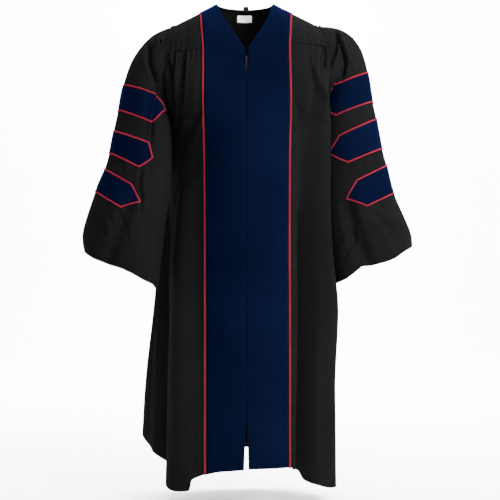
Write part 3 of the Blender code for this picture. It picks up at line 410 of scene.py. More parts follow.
SLEEVE_LINES = (
    # side, depth, width, slow side, points
    (RIGHT, 0.017, 0.01, 1, (
        (0.269, -0.12), (0.2701, -0.1313), (0.2687, -0.1801), (0.26, -0.2037), (0.2525, -0.2256),
        (0.2454, -0.2567),
    )),
    (RIGHT, 0.011, 0.006, 1, (
        (0.25, -0.24), (0.2454, -0.2567), (0.2428, -0.2787), (0.2535, -0.3445), (0.2558, -0.3858),
        (0.2547, -0.4247),
    )),
    (RIGHT, 0.005, 0.004, 0, ((0.2591, -0.133), (0.2543, -0.1165), (0.2499, -0.1058))),
    (RIGHT, 0.005, 0.003, 0, ((0.2389, -0.1117), (0.2338, -0.1246))),
    (RIGHT, 0.005, 0.007, 1, ((0.2324, -0.2026), (0.2253, -0.245), (0.218, -0.3116), (0.2165, -0.3337))),
    (RIGHT, 0.005, 0.005, 0, (
        (0.2791, -0.4686), (0.2875, -0.5052), (0.2859, -0.5331), (0.2811, -0.5548), (0.2819, -0.6096),
    )),
    (RIGHT, 0.003, 0.0045, 0, ((0.3386, -0.4492), (0.3315, -0.4869))),
    (RIGHT, 0.006, 0.005, -1, ((0.3449, -0.5804), (0.3245, -0.6272), (0.3141, -0.6538), (0.3069, -0.6881))),
    (RIGHT, 0.003, 0.005, 0, ((0.3748, -0.5861), (0.3679, -0.611), (0.3579, -0.6378))),
    (RIGHT, 0.0035, 0.006, 0, ((0.4079, -0.5932), (0.3858, -0.6374), (0.3771, -0.6706))),
    (RIGHT, 0.003, 0.013, 0, ((0.399, -0.697), (0.3759, -0.6973), (0.3545, -0.7157))),
    (LEFT, 0.015, 0.0075, 1, (
        (0.25, -0.078), (0.2538, -0.0885), (0.2631, -0.121), (0.2703, -0.1446), (0.2764, -0.1665),
        (0.2768, -0.1882), (0.2717, -0.2092), (0.2661, -0.2339),
    )),
    (LEFT, 0.013, 0.0065, 1, (
        (0.2557, -0.1018), (0.2557, -0.1118), (0.2534, -0.1283), (0.2494, -0.1521), (0.2381, -0.1782),
        (0.233, -0.2),
    )),
    (LEFT, 0.003, 0.006, 0, ((0.282, -0.0985), (0.2912, -0.1125), (0.3041, -0.1338))),
    (LEFT, 0.002, 0.006, 0, ((0.2881, -0.1772), (0.2943, -0.2094))),
    (LEFT, 0.006, 0.008, 0, ((0.2947, -0.6381), (0.2992, -0.6693), (0.2882, -0.6932), (0.2695, -0.7131))),
    (LEFT, 0.006, 0.008, 0, (
        (0.3545, -0.583), (0.3777, -0.6086), (0.4114, -0.6306), (0.4387, -0.6391), (0.4589, -0.6542),
    )),
    (LEFT, 0.003, 0.008, 0, ((0.3445, -0.588), (0.3703, -0.6157), (0.3965, -0.6437), (0.4223, -0.6689))),
    (LEFT, 0.002, 0.005, 0, ((0.3308, -0.418), (0.3276, -0.4622))),
    (LEFT, 0.002, 0.005, 0, ((0.3604, -0.4081), (0.3596, -0.4502))),
)

# Creases on the sleeves' backs, each a line from one ring and angle to another.
SLEEVE_CREASES = (
    # side, first ring, angle, last ring, angle, half width in degrees, depth
    (RIGHT, 0.0, -40, 1.8, -44, 4.0, 0.0030),
    (RIGHT, 0.0, -66, 2.4, -72, 4.0, 0.0036),
    (RIGHT, 0.0, -92, 3.0, -96, 4.5, 0.0042),
    (RIGHT, 8.4, -70, 10.2, -60, 4.5, 0.0034),
    (LEFT, 0.0, -38, 1.8, -42, 4.0, 0.0030),
    (LEFT, 0.0, -68, 2.4, -74, 4.0, 0.0036),
    (LEFT, 0.0, -94, 3.0, -98, 4.5, 0.0042),
    (LEFT, 8.4, -66, 10.2, -58, 4.5, 0.0034),
)
# How much of the solids' short folds at the front of a sleeve head is kept under its creases.
HEAD_FOLDS_KEPT = 0.25

# How far the cuff is above its straight line, by x.
CUFF_SHAPE = {
    RIGHT: (
        (0.240, 0.000), (0.253, 0.012), (0.275, 0.012), (0.305, 0.015), (0.335, 0.014), (0.370, 0.007),
        (0.420, 0.000), (0.460, 0.002),
    ),
    LEFT: (
        (0.255, -0.004), (0.285, -0.003), (0.310, 0.006), (0.325, 0.012), (0.350, 0.002), (0.375, -0.003),
        (0.400, -0.008), (0.420, -0.009), (0.450, -0.003),
    ),
}
# Small uneven gathers: on the sleeve heads by angle, on the back by its part, on the fronts by x.
SLEEVE_GATHERS = {"count": 46, "to_angle": 140, "half_width": 1.7, "depth": 0.0016}
SMALL_BACK_GATHERS = {"count": 17, "half_width": 0.011, "depth": 0.0019}
FRONT_GATHERS = {"first_x": 0.130, "end_x": 0.214, "pitch": 0.0074, "half_width": 0.0022, "depth": 0.0011}
# Soft unevenness of each cloth.
UNEVEN_FRONT = 0.0008
UNEVEN_BACK = 0.0009
UNEVEN_SLEEVE = 0.0016


# Curves and soft steps.


def monotone(xs, ys, value):
    """A smooth line through the points that doesn't overshoot, read at the values."""
    steps = np.diff(xs)
    slopes = np.diff(ys) / steps
    tangents = np.empty_like(ys)
    tangents[0], tangents[-1] = slopes[0], slopes[-1]
    for k in range(1, len(xs) - 1):
        before, after = slopes[k - 1], slopes[k]
        if before * after <= 0:
            tangents[k] = 0.0
            continue
        a, b = 2 * steps[k] + steps[k - 1], steps[k] + 2 * steps[k - 1]
        tangents[k] = (a + b) / (a / before + b / after)
    i = np.clip(np.searchsorted(xs, value, side="right") - 1, 0, len(xs) - 2)
    t = np.clip((value - xs[i]) / steps[i], 0, 1)
    start = (1 + 2 * t) * (1 - t) ** 2 * ys[i] + t * (1 - t) ** 2 * steps[i] * tangents[i]
    end = t * t * (3 - 2 * t) * ys[i + 1] + t * t * (t - 1) * steps[i] * tangents[i + 1]
    return start + end


def column(table, key, value):
    """A table's column read at values of its first column."""
    rows = np.array(table, float)
    order = np.argsort(rows[:, 0])
    return monotone(rows[order, 0], rows[order, key], np.asarray(value, float))


def bump(distance):
    """1 at the fold's line, 0 from its half width on, with no sharp edge."""
    return 0.5 + 0.5 * np.cos(np.pi * np.clip(distance, -1, 1))


def pinch(distance):
    """A narrow valley between two low ridges: 1 down at the line."""
    away = np.abs(distance)
    return np.exp(-(away**2) * 1.6) - 0.42 * np.exp(-((away - 2.1) ** 2) * 1.3)


def ramp(value, start, end):
    """0 at the start, 1 at the end, smooth between."""
    part = np.clip((value - start) / (end - start), 0, 1)
    return part * part * (3 - 2 * part)


def ripple(u, v, seed, count=7):
    """Soft unevenness between -1 and 1: a few waves whose directions and phases come from the seed."""
    draw = np.random.default_rng(seed)
    total = np.zeros(np.broadcast(u, v).shape)
    for _ in range(count):
        across, down, phase = draw.uniform(0.4, 1.6), draw.uniform(0.3, 1.4), draw.uniform(0, 2 * np.pi)
        total += np.sin(2 * np.pi * (across * u + down * v) + phase)
    return total / count


# The body's surface.


def armhole_point(side, angle):
    """A point of the armhole: 0 degrees is the top, 90 the front, 180 the underarm, -90 the back."""
    turn = np.radians(angle)
    x = ARMHOLE["x"] - ARMHOLE_LEAN * np.cos(turn) + ARMHOLE_BOW * np.sin(turn) ** 2
    if side == LEFT:
        x = x + MORE_BOW_IN_FRONT * np.clip(np.sin(turn), 0, 1) ** 2
    y = ARMHOLE["y"] - ARMHOLE["half_depth"] * np.sin(turn)
    z = ARMHOLE["z"] + ARMHOLE["half_height"] * np.cos(turn)
    return np.stack((side * x, y, z), axis=-1)


def armhole_angle(z):
    return np.degrees(np.arccos(np.clip((z - ARMHOLE["z"]) / ARMHOLE["half_height"], -1, 1)))


def seam_end(side, z, face):
    """Where a level of the body ends: on the armhole above the underarm, on the side seam below it."""
    hole = armhole_point(side, face * armhole_angle(z))
    shift = 0 if side == RIGHT else 1
    seam_x, seam_y = column(SECTIONS, 3 + shift, z), column(SECTIONS, 5 + shift, z)
    above = z > UNDERARM_Z
    return np.where(above, np.abs(hole[..., 0]), seam_x), np.where(above, hole[..., 1], seam_y)


def half_section(side, z, face, u):
    """x from the centre line out, and y, at a part u of the way from the centre line to the seam."""
    centre_y = column(SECTIONS, 1 if face == 1 else 2, z)
    true_x, true_y = seam_end(side, z, face)
    near = [seam_end(side, z + shift, face) for shift in EVEN_OVER]
    end_x, end_y = sum(at[0] for at in near) / len(near), sum(at[1] for at in near) / len(near)
    yoke_z, underarm_z, side_z = HEADING_TURNS
    turned = ramp(-z, -yoke_z, -underarm_z)
    side_heading = SIDE_HEADING[side] if face == 1 else 180 - SIDE_HEADING[side]
    heading = YOKE_HEADING + (UNDERARM_HEADING - YOKE_HEADING) * turned
    heading = np.radians(heading + (side_heading - UNDERARM_HEADING) * ramp(-z, -underarm_z, -side_z))
    reach = SIDE_REACH[0] + (SIDE_REACH[1] - SIDE_REACH[0]) * turned
    v = 1 - u
    x = 3 * v * v * u * FRONT_BREADTH * end_x
    x = x + 3 * v * u * u * (end_x - reach * np.cos(heading)) + u**3 * end_x
    y = v * v * (v + 3 * u) * centre_y
    y = y + 3 * v * u * u * (end_y - face * reach * np.sin(heading)) + u**3 * end_y
    at_seam = ramp(u, BENDS_FROM, 1.0)
    return x + (true_x - end_x) * at_seam, y + (true_y - end_y) * at_seam


def place_to_part(side, z, place):
    """Ring place on the front (0 centre, 1 piping, 2 seam) as a part of the half section."""
    pipe = column(PIPE_X, 1 if side == RIGHT else 2, z)
    low, high = np.zeros_like(z), np.ones_like(z)
    for _ in range(26):
        middle = (low + high) / 2
        short = half_section(side, z, 1, middle)[0] < pipe
        low, high = np.where(short, middle, low), np.where(short, high, middle)
    start = 0.5 * column(FRONT_GAP, 1, z) / pipe * low
    return np.where(place <= 1, start + (low - start) * place, low + (place - 1) * (1 - low))


def soft_folds(side, x, z):
    push = np.zeros_like(x)
    for row_side, z0, x0, z1, x1, z2, x2, half_width, depth in FRONT_FOLDS:
        if row_side != side:
            continue
        line = np.interp(-z, (-z0, -z1, -z2), (x0, x1, x2))
        fade = ramp(z, z2, z1) * (0.45 + 0.55 * ramp(-z, -z0, 0.04 - z0))
        push += depth * fade * bump((x - line) / half_width)
    return push


def creased(side, x, z, table):
    """How far the creases of a table push in at x and z."""
    push = np.zeros_like(x)
    for row_side, depth, width, slow, points in table:
        if row_side != side:
            continue
        points = np.array(points)
        lengths = np.concatenate(((0.0,), np.cumsum(np.linalg.norm(np.diff(points, axis=0), axis=1))))
        nearest, signed, along = np.full(x.shape, 9.0), np.zeros(x.shape), np.zeros(x.shape)
        for k in range(len(points) - 1):
            start, way = points[k], points[k + 1] - points[k]
            t = np.clip(((x - start[0]) * way[0] + (z - start[1]) * way[1]) / (way @ way), 0, 1)
            dx, dz = x - start[0] - t * way[0], z - start[1] - t * way[1]
            away = np.hypot(dx, dz)
            inner = np.where(way[0] * dz - way[1] * dx > 0, -1.0, 1.0)
            closer = away < nearest
            nearest = np.where(closer, away, nearest)
            signed = np.where(closer, inner * away, signed)
            along = np.where(closer, lengths[k] + t * (lengths[k + 1] - lengths[k]), along)
        if slow:
            signed = signed * slow
            gentle = np.exp(-((np.abs(signed) / width) ** 1.3))
            steep = np.exp(-((signed / (0.35 * width)) ** 2))
            shape = np.where(signed > 0, gentle, steep)
            shape = shape - 0.22 * np.exp(-((signed / width + 1.1) ** 2) * 2.2)
        else:
            shape = pinch(signed / width)
        end = lengths[-1]
        fade = ramp(along, -0.02 * end, 0.12 * end) * ramp(end - along, -0.02 * end, 0.24 * end)
        push += -depth * shape * fade
    return push


def small_gathers(side, x, z, seam_z):
    """Short uneven pleats where the front is gathered into its yoke."""
    below = seam_z - z
    draw = np.random.default_rng(11 if side == RIGHT else 12)
    push = np.zeros_like(x)
    rows = FRONT_GATHERS
    for centre in np.arange(rows["first_x"], rows["end_x"], rows["pitch"]):
        at = centre + draw.uniform(-0.002, 0.002)
        length, depth = draw.uniform(0.014, 0.060), draw.uniform(0.4, 1.0)
        line = at + draw.uniform(-0.05, 0.05) * below
        fade = ramp(length - below, 0, length)
        push -= rows["depth"] * depth * fade * pinch((x - line) / rows["half_width"])
    return push


def flutes(side, place, z):
    push = np.zeros(np.broadcast(place, z).shape)
    for row_side, top, hem, half_width, top_z, full_z, depth in FLUTES:
        if row_side != side:
            continue
        line = top + (hem - top) * ramp(-z, -top_z, -HEM_LEVEL)
        push += depth * ramp(-z, -top_z, -full_z) * bump((place - line) / half_width)
    centre = CENTRE_BACK_FLUTE
    opened = ramp(-z, -centre["top_z"], -centre["full_z"])
    return push + centre["depth"] * opened * bump((4 - place) / centre["half_width"])


def back_gathers(side, u, z):
    """Gathers of the back below its yoke: the large ones of the solid, and small uneven ones between them."""
    fade = ramp(z, BACK_GATHER_END_Z, BACK_GATHER_FULL_Z) * ramp(1 - u, 0.0, 0.1)
    push = 0.8 * BACK_GATHER_DEPTH * np.cos(np.pi * BACK_GATHERS * u) * fade
    draw = np.random.default_rng(21 if side == RIGHT else 22)
    rows = SMALL_BACK_GATHERS
    for centre in np.linspace(0.03, 0.94, rows["count"]):
        at = centre + draw.uniform(-0.012, 0.012)
        end, depth = draw.uniform(0.05, 0.19), draw.uniform(0.4, 1.0)
        fade = ramp(end - (BACK_SEAM_Z - z), 0, end)
        push -= rows["depth"] * depth * fade * pinch((u - at) / rows["half_width"])
    return push


def level_height(side, level, place, face):
    """The height of a mesh row at a ring place: the rows follow the yoke seam above and the hem below."""
    hem = column(HEM, 1 if side == RIGHT else 2, place)
    low = level + (hem - HEM_LEVEL) * (level - UNDERARM_Z) / (HEM_LEVEL - UNDERARM_Z)
    seam = np.interp(place, (0, 1, 2), YOKE_SEAM_Z[side]) if face == 1 else BACK_SEAM_Z
    high = seam + (UNDERARM_Z - seam) * (level - BODY_TOP) / (UNDERARM_Z - BODY_TOP)
    return np.where(level < UNDERARM_Z, low, high)


def body_surface(side, level, place, face, plain=False):
    """Points of the body's outer face. Places 0 to 2 are the front, 2 to 4 the back."""
    level, place = np.broadcast_arrays(np.asarray(level, float), np.asarray(place, float))
    z = level_height(side, level, place, face)
    u = place_to_part(side, z, place) if face == 1 else (4 - place) / 2
    at = half_section(side, z, face, u)
    ahead = half_section(side, z, face, np.minimum(1.0, u + TANGENT_STEP))
    behind = half_section(side, z, face, np.maximum(0.0, u - TANGENT_STEP))
    along_x, along_y = ahead[0] - behind[0], ahead[1] - behind[1]
    length = np.hypot(along_x, along_y)
    push = flutes(side, place, z)
    if face == 1:
        outer = ramp(place, 1.0, 1.06)
        push = push + soft_folds(side, at[0], z) * outer
        if not plain:
            seam_z = np.interp(place, (0, 1, 2), YOKE_SEAM_Z[side])
            push = push + creased(side, at[0], z, FRONT_LINES) * outer
            push = push + small_gathers(side, at[0], z, seam_z) * outer
            push = push + UNEVEN_FRONT * ripple(at[0] * 9, z * 4, 31 + side) * outer
    else:
        push = push + back_gathers(side, u, z)
        if not plain:
            push = push + UNEVEN_BACK * ripple(side * at[0] * 8, z * 3, 41) * ramp(place, 2.0, 2.1)
    push = push * np.where(z > UNDERARM_Z, ramp(np.abs(place - 2), 0.0, STILL_AT_ARMHOLE), 1.0)
    x = at[0] + push * face * along_y / length
    y = at[1] - push * face * along_x / length
    return np.stack((side * x + CENTRE_X * (1 - u), y, z), axis=-1)


# The yokes' surfaces.


def neckline_point(side, z):
    x = column(NECKLINE, 1 if side == RIGHT else 2, z)
    return np.stack((side * x + CENTRE_X * ramp(-z, 0, -NECKLINE[-1][0]), column(NECKLINE, 3, z), z), axis=-1)


def shoulder_point(side, place):
    """The shoulder seam, from the neck point (place 0) past the piping (1) to the armhole (2)."""
    top = armhole_point(side, 0.0)
    neck = np.array((side * NECK_HALF[side], 0.0, 0.0))
    pipe = neck + (top - neck) * (PIPE_AT_SHOULDER - NECK_HALF[side]) / (abs(top[0]) - NECK_HALF[side])
    place = np.asarray(place, float)[..., None]
    return np.where(place <= 1, neck + (pipe - neck) * place, pipe + (top - pipe) * (place - 1))


def over_shoulder(start, end, reach, drop, step):
    """A curve from the shoulder down to a yoke seam, rounding over as it goes."""
    step = np.asarray(step, float)[..., None]
    shares = np.stack(np.broadcast_arrays(YOKE_TURN_OUT, reach, drop), axis=-1)
    turn = start + (end - start) * shares
    rest = 1 - step
    return rest * rest * start + 2 * rest * step * turn + step * step * end


def front_yoke_surface(side, step, place):
    """Points of the front yoke: step 0 is the shoulder seam, 1 the yoke seam."""
    step, place = np.broadcast_arrays(np.asarray(step, float), np.asarray(place, float))

    def plain(at):
        seam = body_surface(side, BODY_TOP, at, 1, plain=True)
        return over_shoulder(shoulder_point(side, at), seam, FRONT_TURN["reach"], FRONT_TURN["drop"], step)

    seam_z = YOKE_SEAM_Z[side]
    hole = armhole_point(side, armhole_angle(np.array(seam_z[2])) * step) - plain(np.full(step.shape, 2.0))
    edge = neckline_point(side, seam_z[0] * (0.28 * step + 0.72 * step * step)) - plain(np.zeros(step.shape))
    at_seam = body_surface(side, BODY_TOP, np.zeros(1), 1, plain=True)[0]
    edge = edge + (at_seam - neckline_point(side, np.array(seam_z[0]))) * step[..., None]
    point = plain(place)
    share = np.where(place > 1, ramp(place, 1, 2), ramp(1 - place, 0, 1))[..., None]
    return point + np.where(place[..., None] > 1, hole, edge) * share


def back_top_point(side, place):
    """The back yoke's top edge: the neck edge from the centre (4) to the neck point (3), then on to 2."""
    turn = np.radians(90 * (4 - place))
    neck = np.stack((side * NECK_HALF[side] * np.sin(turn), NECK_BACK_Y * np.cos(turn), 0 * turn), axis=-1)
    return np.where(place[..., None] >= 3, neck, shoulder_point(side, 2 * (3 - place)))


def back_yoke_surface(side, step, place):
    """Points of the back yoke: step 0 is its top edge, 1 the back yoke seam."""
    step, place = np.broadcast_arrays(np.asarray(step, float), np.asarray(place, float))
    at_neck, at_shoulder = BACK_TURN_AT_NECK, BACK_TURN_AT_SHOULDER

    def plain(at):
        near_shoulder = ramp(4 - place, 0.3, 1.4)
        reach = at_neck["reach"] + (at_shoulder["reach"] - at_neck["reach"]) * near_shoulder
        drop = at_neck["drop"] + (at_shoulder["drop"] - at_neck["drop"]) * near_shoulder
        seam = body_surface(side, BODY_TOP, at, -1, plain=True)
        return over_shoulder(back_top_point(side, at), seam, reach, drop, step)

    hole = armhole_point(side, -armhole_angle(np.array(BACK_SEAM_Z)) * step)
    edge = hole - plain(np.full(step.shape, JUST_BEHIND_SEAM))
    return plain(place) + edge * ramp(3.2 - place, 0, 1.2)[..., None]


# The sleeves' surface.


def sleeve_plain(side, ring, angle):
    """The sleeve without its folds: a smooth curve through the table's rings."""
    rows = np.array(SLEEVE_RINGS[side])
    last = len(rows) - 1
    i = np.clip(np.floor(ring).astype(int), 0, last - 1)
    t = (ring - i)[..., None]
    before, start = rows[np.maximum(i - 1, 0)], rows[i]
    end, after = rows[i + 1], rows[np.minimum(i + 2, last)]
    row = 0.5 * (
        2 * start
        + (end - before) * t
        + (2 * before - 5 * start + 4 * end - after) * t**2
        + (3 * start - before - 3 * end + after) * t**3
    )
    outer_x, outer_z, inner_x, inner_z, sag, centre_y, half_depth = np.moveaxis(row, -1, 0)
    turn = np.radians(angle)
    inward = (1 - np.cos(turn)) / 2
    x = outer_x + (inner_x - outer_x) * inward
    z = outer_z + (inner_z - outer_z) * inward - sag * inward**SAG_POWER
    power = 1 + (FLATNESS - 1) * ramp(ring, 1.0, 4.0)
    depth = half_depth * np.sign(np.sin(turn)) * np.abs(np.sin(turn)) ** power
    forward = SLEEVE_TURN[side] * (0.5 * (outer_x + inner_x) - x) * ramp(ring, 2.0, 6.0)
    point = np.stack((side * x, centre_y - depth - forward, z), axis=-1)
    return point + (armhole_point(side, angle) - point) * np.clip(1 - ring, 0, 1)[..., None]


def turned_away(angle, line):
    return (angle - line + 180) % 360 - 180


def sleeve_push(side, ring, angle):
    push = np.zeros_like(ring)
    for row_side, top, end, half_width, first, last, depth in SLEEVE_FOLDS:
        if row_side != side:
            continue
        line = top + (end - top) * np.clip((ring - first) / (last - first), 0, 1)
        fade = ramp(ring, first, first + 0.8) * ramp(-ring, -last, -last + 1.2)
        if first == 0.0:
            fade = (0.3 + 0.7 * ramp(ring, 0, 1.2)) * ramp(-ring, -last, -last + 1.4)
        kept = HEAD_FOLDS_KEPT if first < 1.0 and top > 0 else 1.0
        push += kept * depth * fade * bump(turned_away(angle, line) / half_width)
    for row_side, first, start, last, end, half_width, depth in SLEEVE_CREASES:
        if row_side != side:
            continue
        line = start + (end - start) * np.clip((ring - first) / (last - first), 0, 1)
        fade = ramp(ring, first - 0.25, first + 0.30) * ramp(-ring, -last, -0.55 * last - 0.45 * first)
        push -= depth * fade * pinch(turned_away(angle, line) / half_width)
    draw = np.random.default_rng(51 if side == RIGHT else 52)
    rows = SLEEVE_GATHERS
    for centre in np.linspace(-rows["to_angle"], rows["to_angle"], rows["count"]):
        at, end, depth = centre + draw.uniform(-2, 2), draw.uniform(0.5, 1.7), draw.uniform(0.3, 1.0)
        fade = ramp(ring, 0.0, 0.18) * ramp(-ring, -end, -0.1)
        push -= rows["depth"] * depth * fade * pinch(turned_away(angle, at) / rows["half_width"])
    soft = ramp(ring, 0.3, 1.5)
    turn = np.radians(angle)
    at = sleeve_plain(side, ring, angle)
    push += creased(side, np.abs(at[..., 0]), at[..., 2], SLEEVE_LINES) * ramp(np.sin(turn), 0.0, 0.35)
    u, v = 1.3 * np.cos(turn) + ring * 0.32, 1.3 * np.sin(turn) - ring * 0.21
    return push + UNEVEN_SLEEVE * soft * ripple(u, v, 61 + side)


def sleeve_surface(side, ring, angle):
    """Points of the sleeve's outer face. The folds push it in toward the ring's middle."""
    ring, angle = np.broadcast_arrays(np.asarray(ring, float), np.asarray(angle, float))
    point = sleeve_plain(side, ring, angle)
    middle = (point + sleeve_plain(side, ring, angle + 180)) / 2
    centre = (sleeve_plain(side, ring, 0 * angle) + sleeve_plain(side, ring, 0 * angle + 180)) / 2
    outward = point - 0.5 * (middle + centre)
    outward /= np.linalg.norm(outward, axis=-1, keepdims=True)
    shape = np.array(CUFF_SHAPE[side])
    last = len(SLEEVE_RINGS[side]) - 1
    lift = np.interp(np.abs(point[..., 0]), shape[:, 0], shape[:, 1]) * ramp(ring, last - 1.2, last)
    point = point + lift[..., None] * np.array((0.0, 0.0, 1.0))
    return point + sleeve_push(side, ring, angle)[..., None] * outward


# Grids, meshes and sewing.


def grid_normals(grid, inside, wrap=False):
    """Unit normals of a grid of points, turned away from the inside point."""
    if wrap:
        along = np.roll(grid, -1, 1) - np.roll(grid, 1, 1)
    else:
        along = np.gradient(grid, axis=1)
    normals = np.cross(along, np.gradient(grid, axis=0))
    normals /= np.maximum(np.linalg.norm(normals, axis=2, keepdims=True), 1e-12)
    return normals if ((grid - inside) * normals).sum() >= 0 else -normals


def unit(vectors):
    return vectors / np.maximum(np.linalg.norm(vectors, axis=-1, keepdims=True), 1e-12)


def from_edge(grid, edge):
    """The grid's lines, counted from one of its edges."""
    lines = grid if edge in ("top", "bottom") else grid.swapaxes(0, 1)
    return lines[::-1] if edge in ("bottom", "last") else lines


def as_grid(lines, edge):
    """The grid again, from lines counted from one of its edges."""
    lines = lines[::-1] if edge in ("bottom", "last") else lines
    return lines if edge in ("top", "bottom") else lines.swapaxes(0, 1)


def turned_edge(grid, inside, edge, radius, under, wrap=False):
    """The grid with one edge turned round a small roll and laid flat behind."""
    lines, normals = from_edge(grid, edge), from_edge(grid_normals(grid, inside, wrap), edge)
    out = unit(lines[0] - lines[2])
    up = unit(normals[1] - (normals[1] * out).sum(-1, keepdims=True) * out)
    first = lines[0] - radius * out
    rolled = [
        first + radius * (math.cos(turn) * out + (math.sin(turn) - 1) * up)
        for turn in np.linspace(math.pi / 2, -math.pi / 2, ROLL_STEPS + 1)
    ]
    behind = [rolled[-1] - share * under * out for share in (0.5, 1.0)]
    return as_grid(np.concatenate((np.array(behind[::-1] + rolled[::-1]), lines[1:])), edge)


def tucked_edge(grid, inside, edge, reach, depth, wrap=False):
    """The grid with one more line past an edge, a little under its neighbour."""
    lines, ups = from_edge(grid, edge), from_edge(grid_normals(grid, inside, wrap), edge)
    out = unit(lines[0] - lines[1])
    near = lines[0] - depth * ups[0]
    return as_grid(np.concatenate((np.array([near + reach * out, near]), lines[1:])), edge)


def add_grid(name, grid, material, inside, wall, wrap=False):
    """A cloth piece of quads with a wall, and UVs in metres across and down the cloth."""
    rows, columns = grid.shape[:2]
    i, j = np.meshgrid(np.arange(rows - 1), np.arange(columns if wrap else columns - 1), indexing="ij")
    i, j = i.ravel(), j.ravel()
    k = (j + 1) % columns
    quads = np.stack((i * columns + j, i * columns + k, (i + 1) * columns + k, (i + 1) * columns + j), -1)
    across = np.linalg.norm(np.roll(grid, -1, 1) - grid, axis=2).mean(0)
    u = np.concatenate(((0.0,), np.cumsum(across)))
    down = np.linalg.norm(grid[1:] - grid[:-1], axis=2).mean(1)
    v = np.concatenate(((0.0,), np.cumsum(down)))
    corner_u = np.stack((u[j], u[j + 1], u[j + 1], u[j]), -1)
    corner_v = np.stack((v[i], v[i], v[i + 1], v[i + 1]), -1)
    uv = np.stack((corner_u, corner_v), -1)
    points = grid.reshape(-1, 3)
    corners = points[quads]
    area = np.cross(corners[:, 2] - corners[:, 0], corners[:, 3] - corners[:, 1])
    if (area * (corners.mean(axis=1) - inside)).sum() < 0:
        quads, uv = quads[:, ::-1], uv[:, ::-1]
    obj = add_mesh(name, points, quads.tolist(), material)
    layer = obj.data.uv_layers.new(name="cloth")
    layer.data.foreach_set("uv", uv.astype(np.float32).ravel())
    solid = obj.modifiers.new("Wall", "SOLIDIFY")
    solid.thickness = wall
    solid.offset = -1.0
    return obj


def add_mesh(name, points, faces, material):
    mesh = bpy.data.meshes.new(name)
    mesh.from_pydata(np.asarray(points, float).tolist(), [], faces)
    mesh.materials.append(material)
    mesh.shade_smooth()
    obj = bpy.data.objects.new(name, mesh)
    bpy.context.scene.collection.objects.link(obj)
    return obj


def placed(obj, slot, *nodes):
    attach(obj, GOWN)
    if nodes:
        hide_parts(*nodes)
    return obj


def rounded_strip(name, path, normals, width, height, material, closed=False):
    """A strip with a round top along a path: the width across, the height up, and a flat underside."""
    if closed:
        after, before = np.roll(path, -1, 0) - path, path - np.roll(path, 1, 0)
    else:
        step = np.diff(path, axis=0)
        after, before = np.concatenate((step, step[-1:])), np.concatenate((step[:1], step))
    after, before = unit(after), unit(before)
    tangent = unit(after + before)
    across = unit(np.cross(tangent, normals))
    mitre = 1 / np.clip((tangent * after).sum(-1), 0.6, 1.0)
    turns = np.linspace(0, np.pi, STRIP_SIDES)
    ring = [
        path + (across * (mitre * 0.5 * width * np.cos(turn))[:, None]) + normals * (height * np.sin(turn))
        for turn in turns
    ]
    ring += [path - across * (mitre * 0.5 * width)[:, None] - STRIP_SUNK * normals]
    ring += [path + across * (mitre * 0.5 * width)[:, None] - STRIP_SUNK * normals]
    grid = np.array(ring).swapaxes(0, 1)
    rows, columns = grid.shape[:2]
    faces = []
    for i in range(rows if closed else rows - 1):
        for j in range(columns):
            a, b = i * columns + j, i * columns + (j + 1) % columns
            n = (i + 1) % rows
            faces.append((a, b, n * columns + (j + 1) % columns, n * columns + j))
    if not closed:
        faces += [tuple(range(columns))[::-1], tuple((rows - 1) * columns + j for j in range(columns))]
    obj = add_mesh(name, grid.reshape(-1, 3), faces, material)
    recalculated(obj)
    return obj


def recalculated(obj):
    """The mesh with every face turned outward."""
    shape = bmesh.new()
    shape.from_mesh(obj.data)
    bmesh.ops.recalc_face_normals(shape, faces=shape.faces)
    shape.to_mesh(obj.data)
    shape.free()


def add_cloth(name, grid, inside, node, wrap=False):
    """A piece of the black cloth in place of its solid."""
    return placed(add_grid(name, grid, POPLIN, inside, WALL, wrap), "black_poplin", node)


def resampled(path, normals, pitch):
    """Points, normals and directions every pitch along a path."""
    step = np.linalg.norm(np.diff(path, axis=0), axis=1)
    at = np.concatenate(((0.0,), np.cumsum(step)))
    places = np.arange(pitch / 2, at[-1], pitch)
    points = np.stack([np.interp(places, at, path[:, k]) for k in range(3)], -1)
    ups = unit(np.stack([np.interp(places, at, normals[:, k]) for k in range(3)], -1))
    ahead = np.stack([np.interp(places + pitch / 4, at, path[:, k]) for k in range(3)], -1)
    back = np.stack([np.interp(places - pitch / 4, at, path[:, k]) for k in range(3)], -1)
    return points, ups, unit(ahead - back)


def stitches(name, lines, material, slot="black_tape", pitch=0.0034, length=0.0024, thick=0.00032):
    """Rows of small stitches along lines, each a list of points and their normals."""
    points, faces = [], []
    for path, normals in lines:
        places, ups, along = resampled(np.asarray(path), np.asarray(normals), pitch)
        sides = np.cross(along, ups)
        for place, up, way, across in zip(places, ups, along, sides):
            start = len(points)
            half = 0.5 * length * way
            points += [place - half, place + half]
            points += [place + thick * across, place + thick * up * 1.2]
            points += [place - thick * across, place - thick * up]
            for k in range(4):
                a, b = start + 2 + k, start + 2 + (k + 1) % 4
                faces += [(start, b, a), (start + 1, a, b)]
    obj = add_mesh(name, points, faces, material)
    recalculated(obj)
    return placed(obj, slot)


# Materials.


def noise(nodes, links, coordinates, scale, detail=4.0):
    texture = nodes.new("ShaderNodeTexNoise")
    texture.inputs["Scale"].default_value = scale
    texture.inputs["Detail"].default_value = detail
    texture.inputs["Roughness"].default_value = 0.55
    links.new(coordinates, texture.inputs["Vector"])
    return texture.outputs["Fac"]


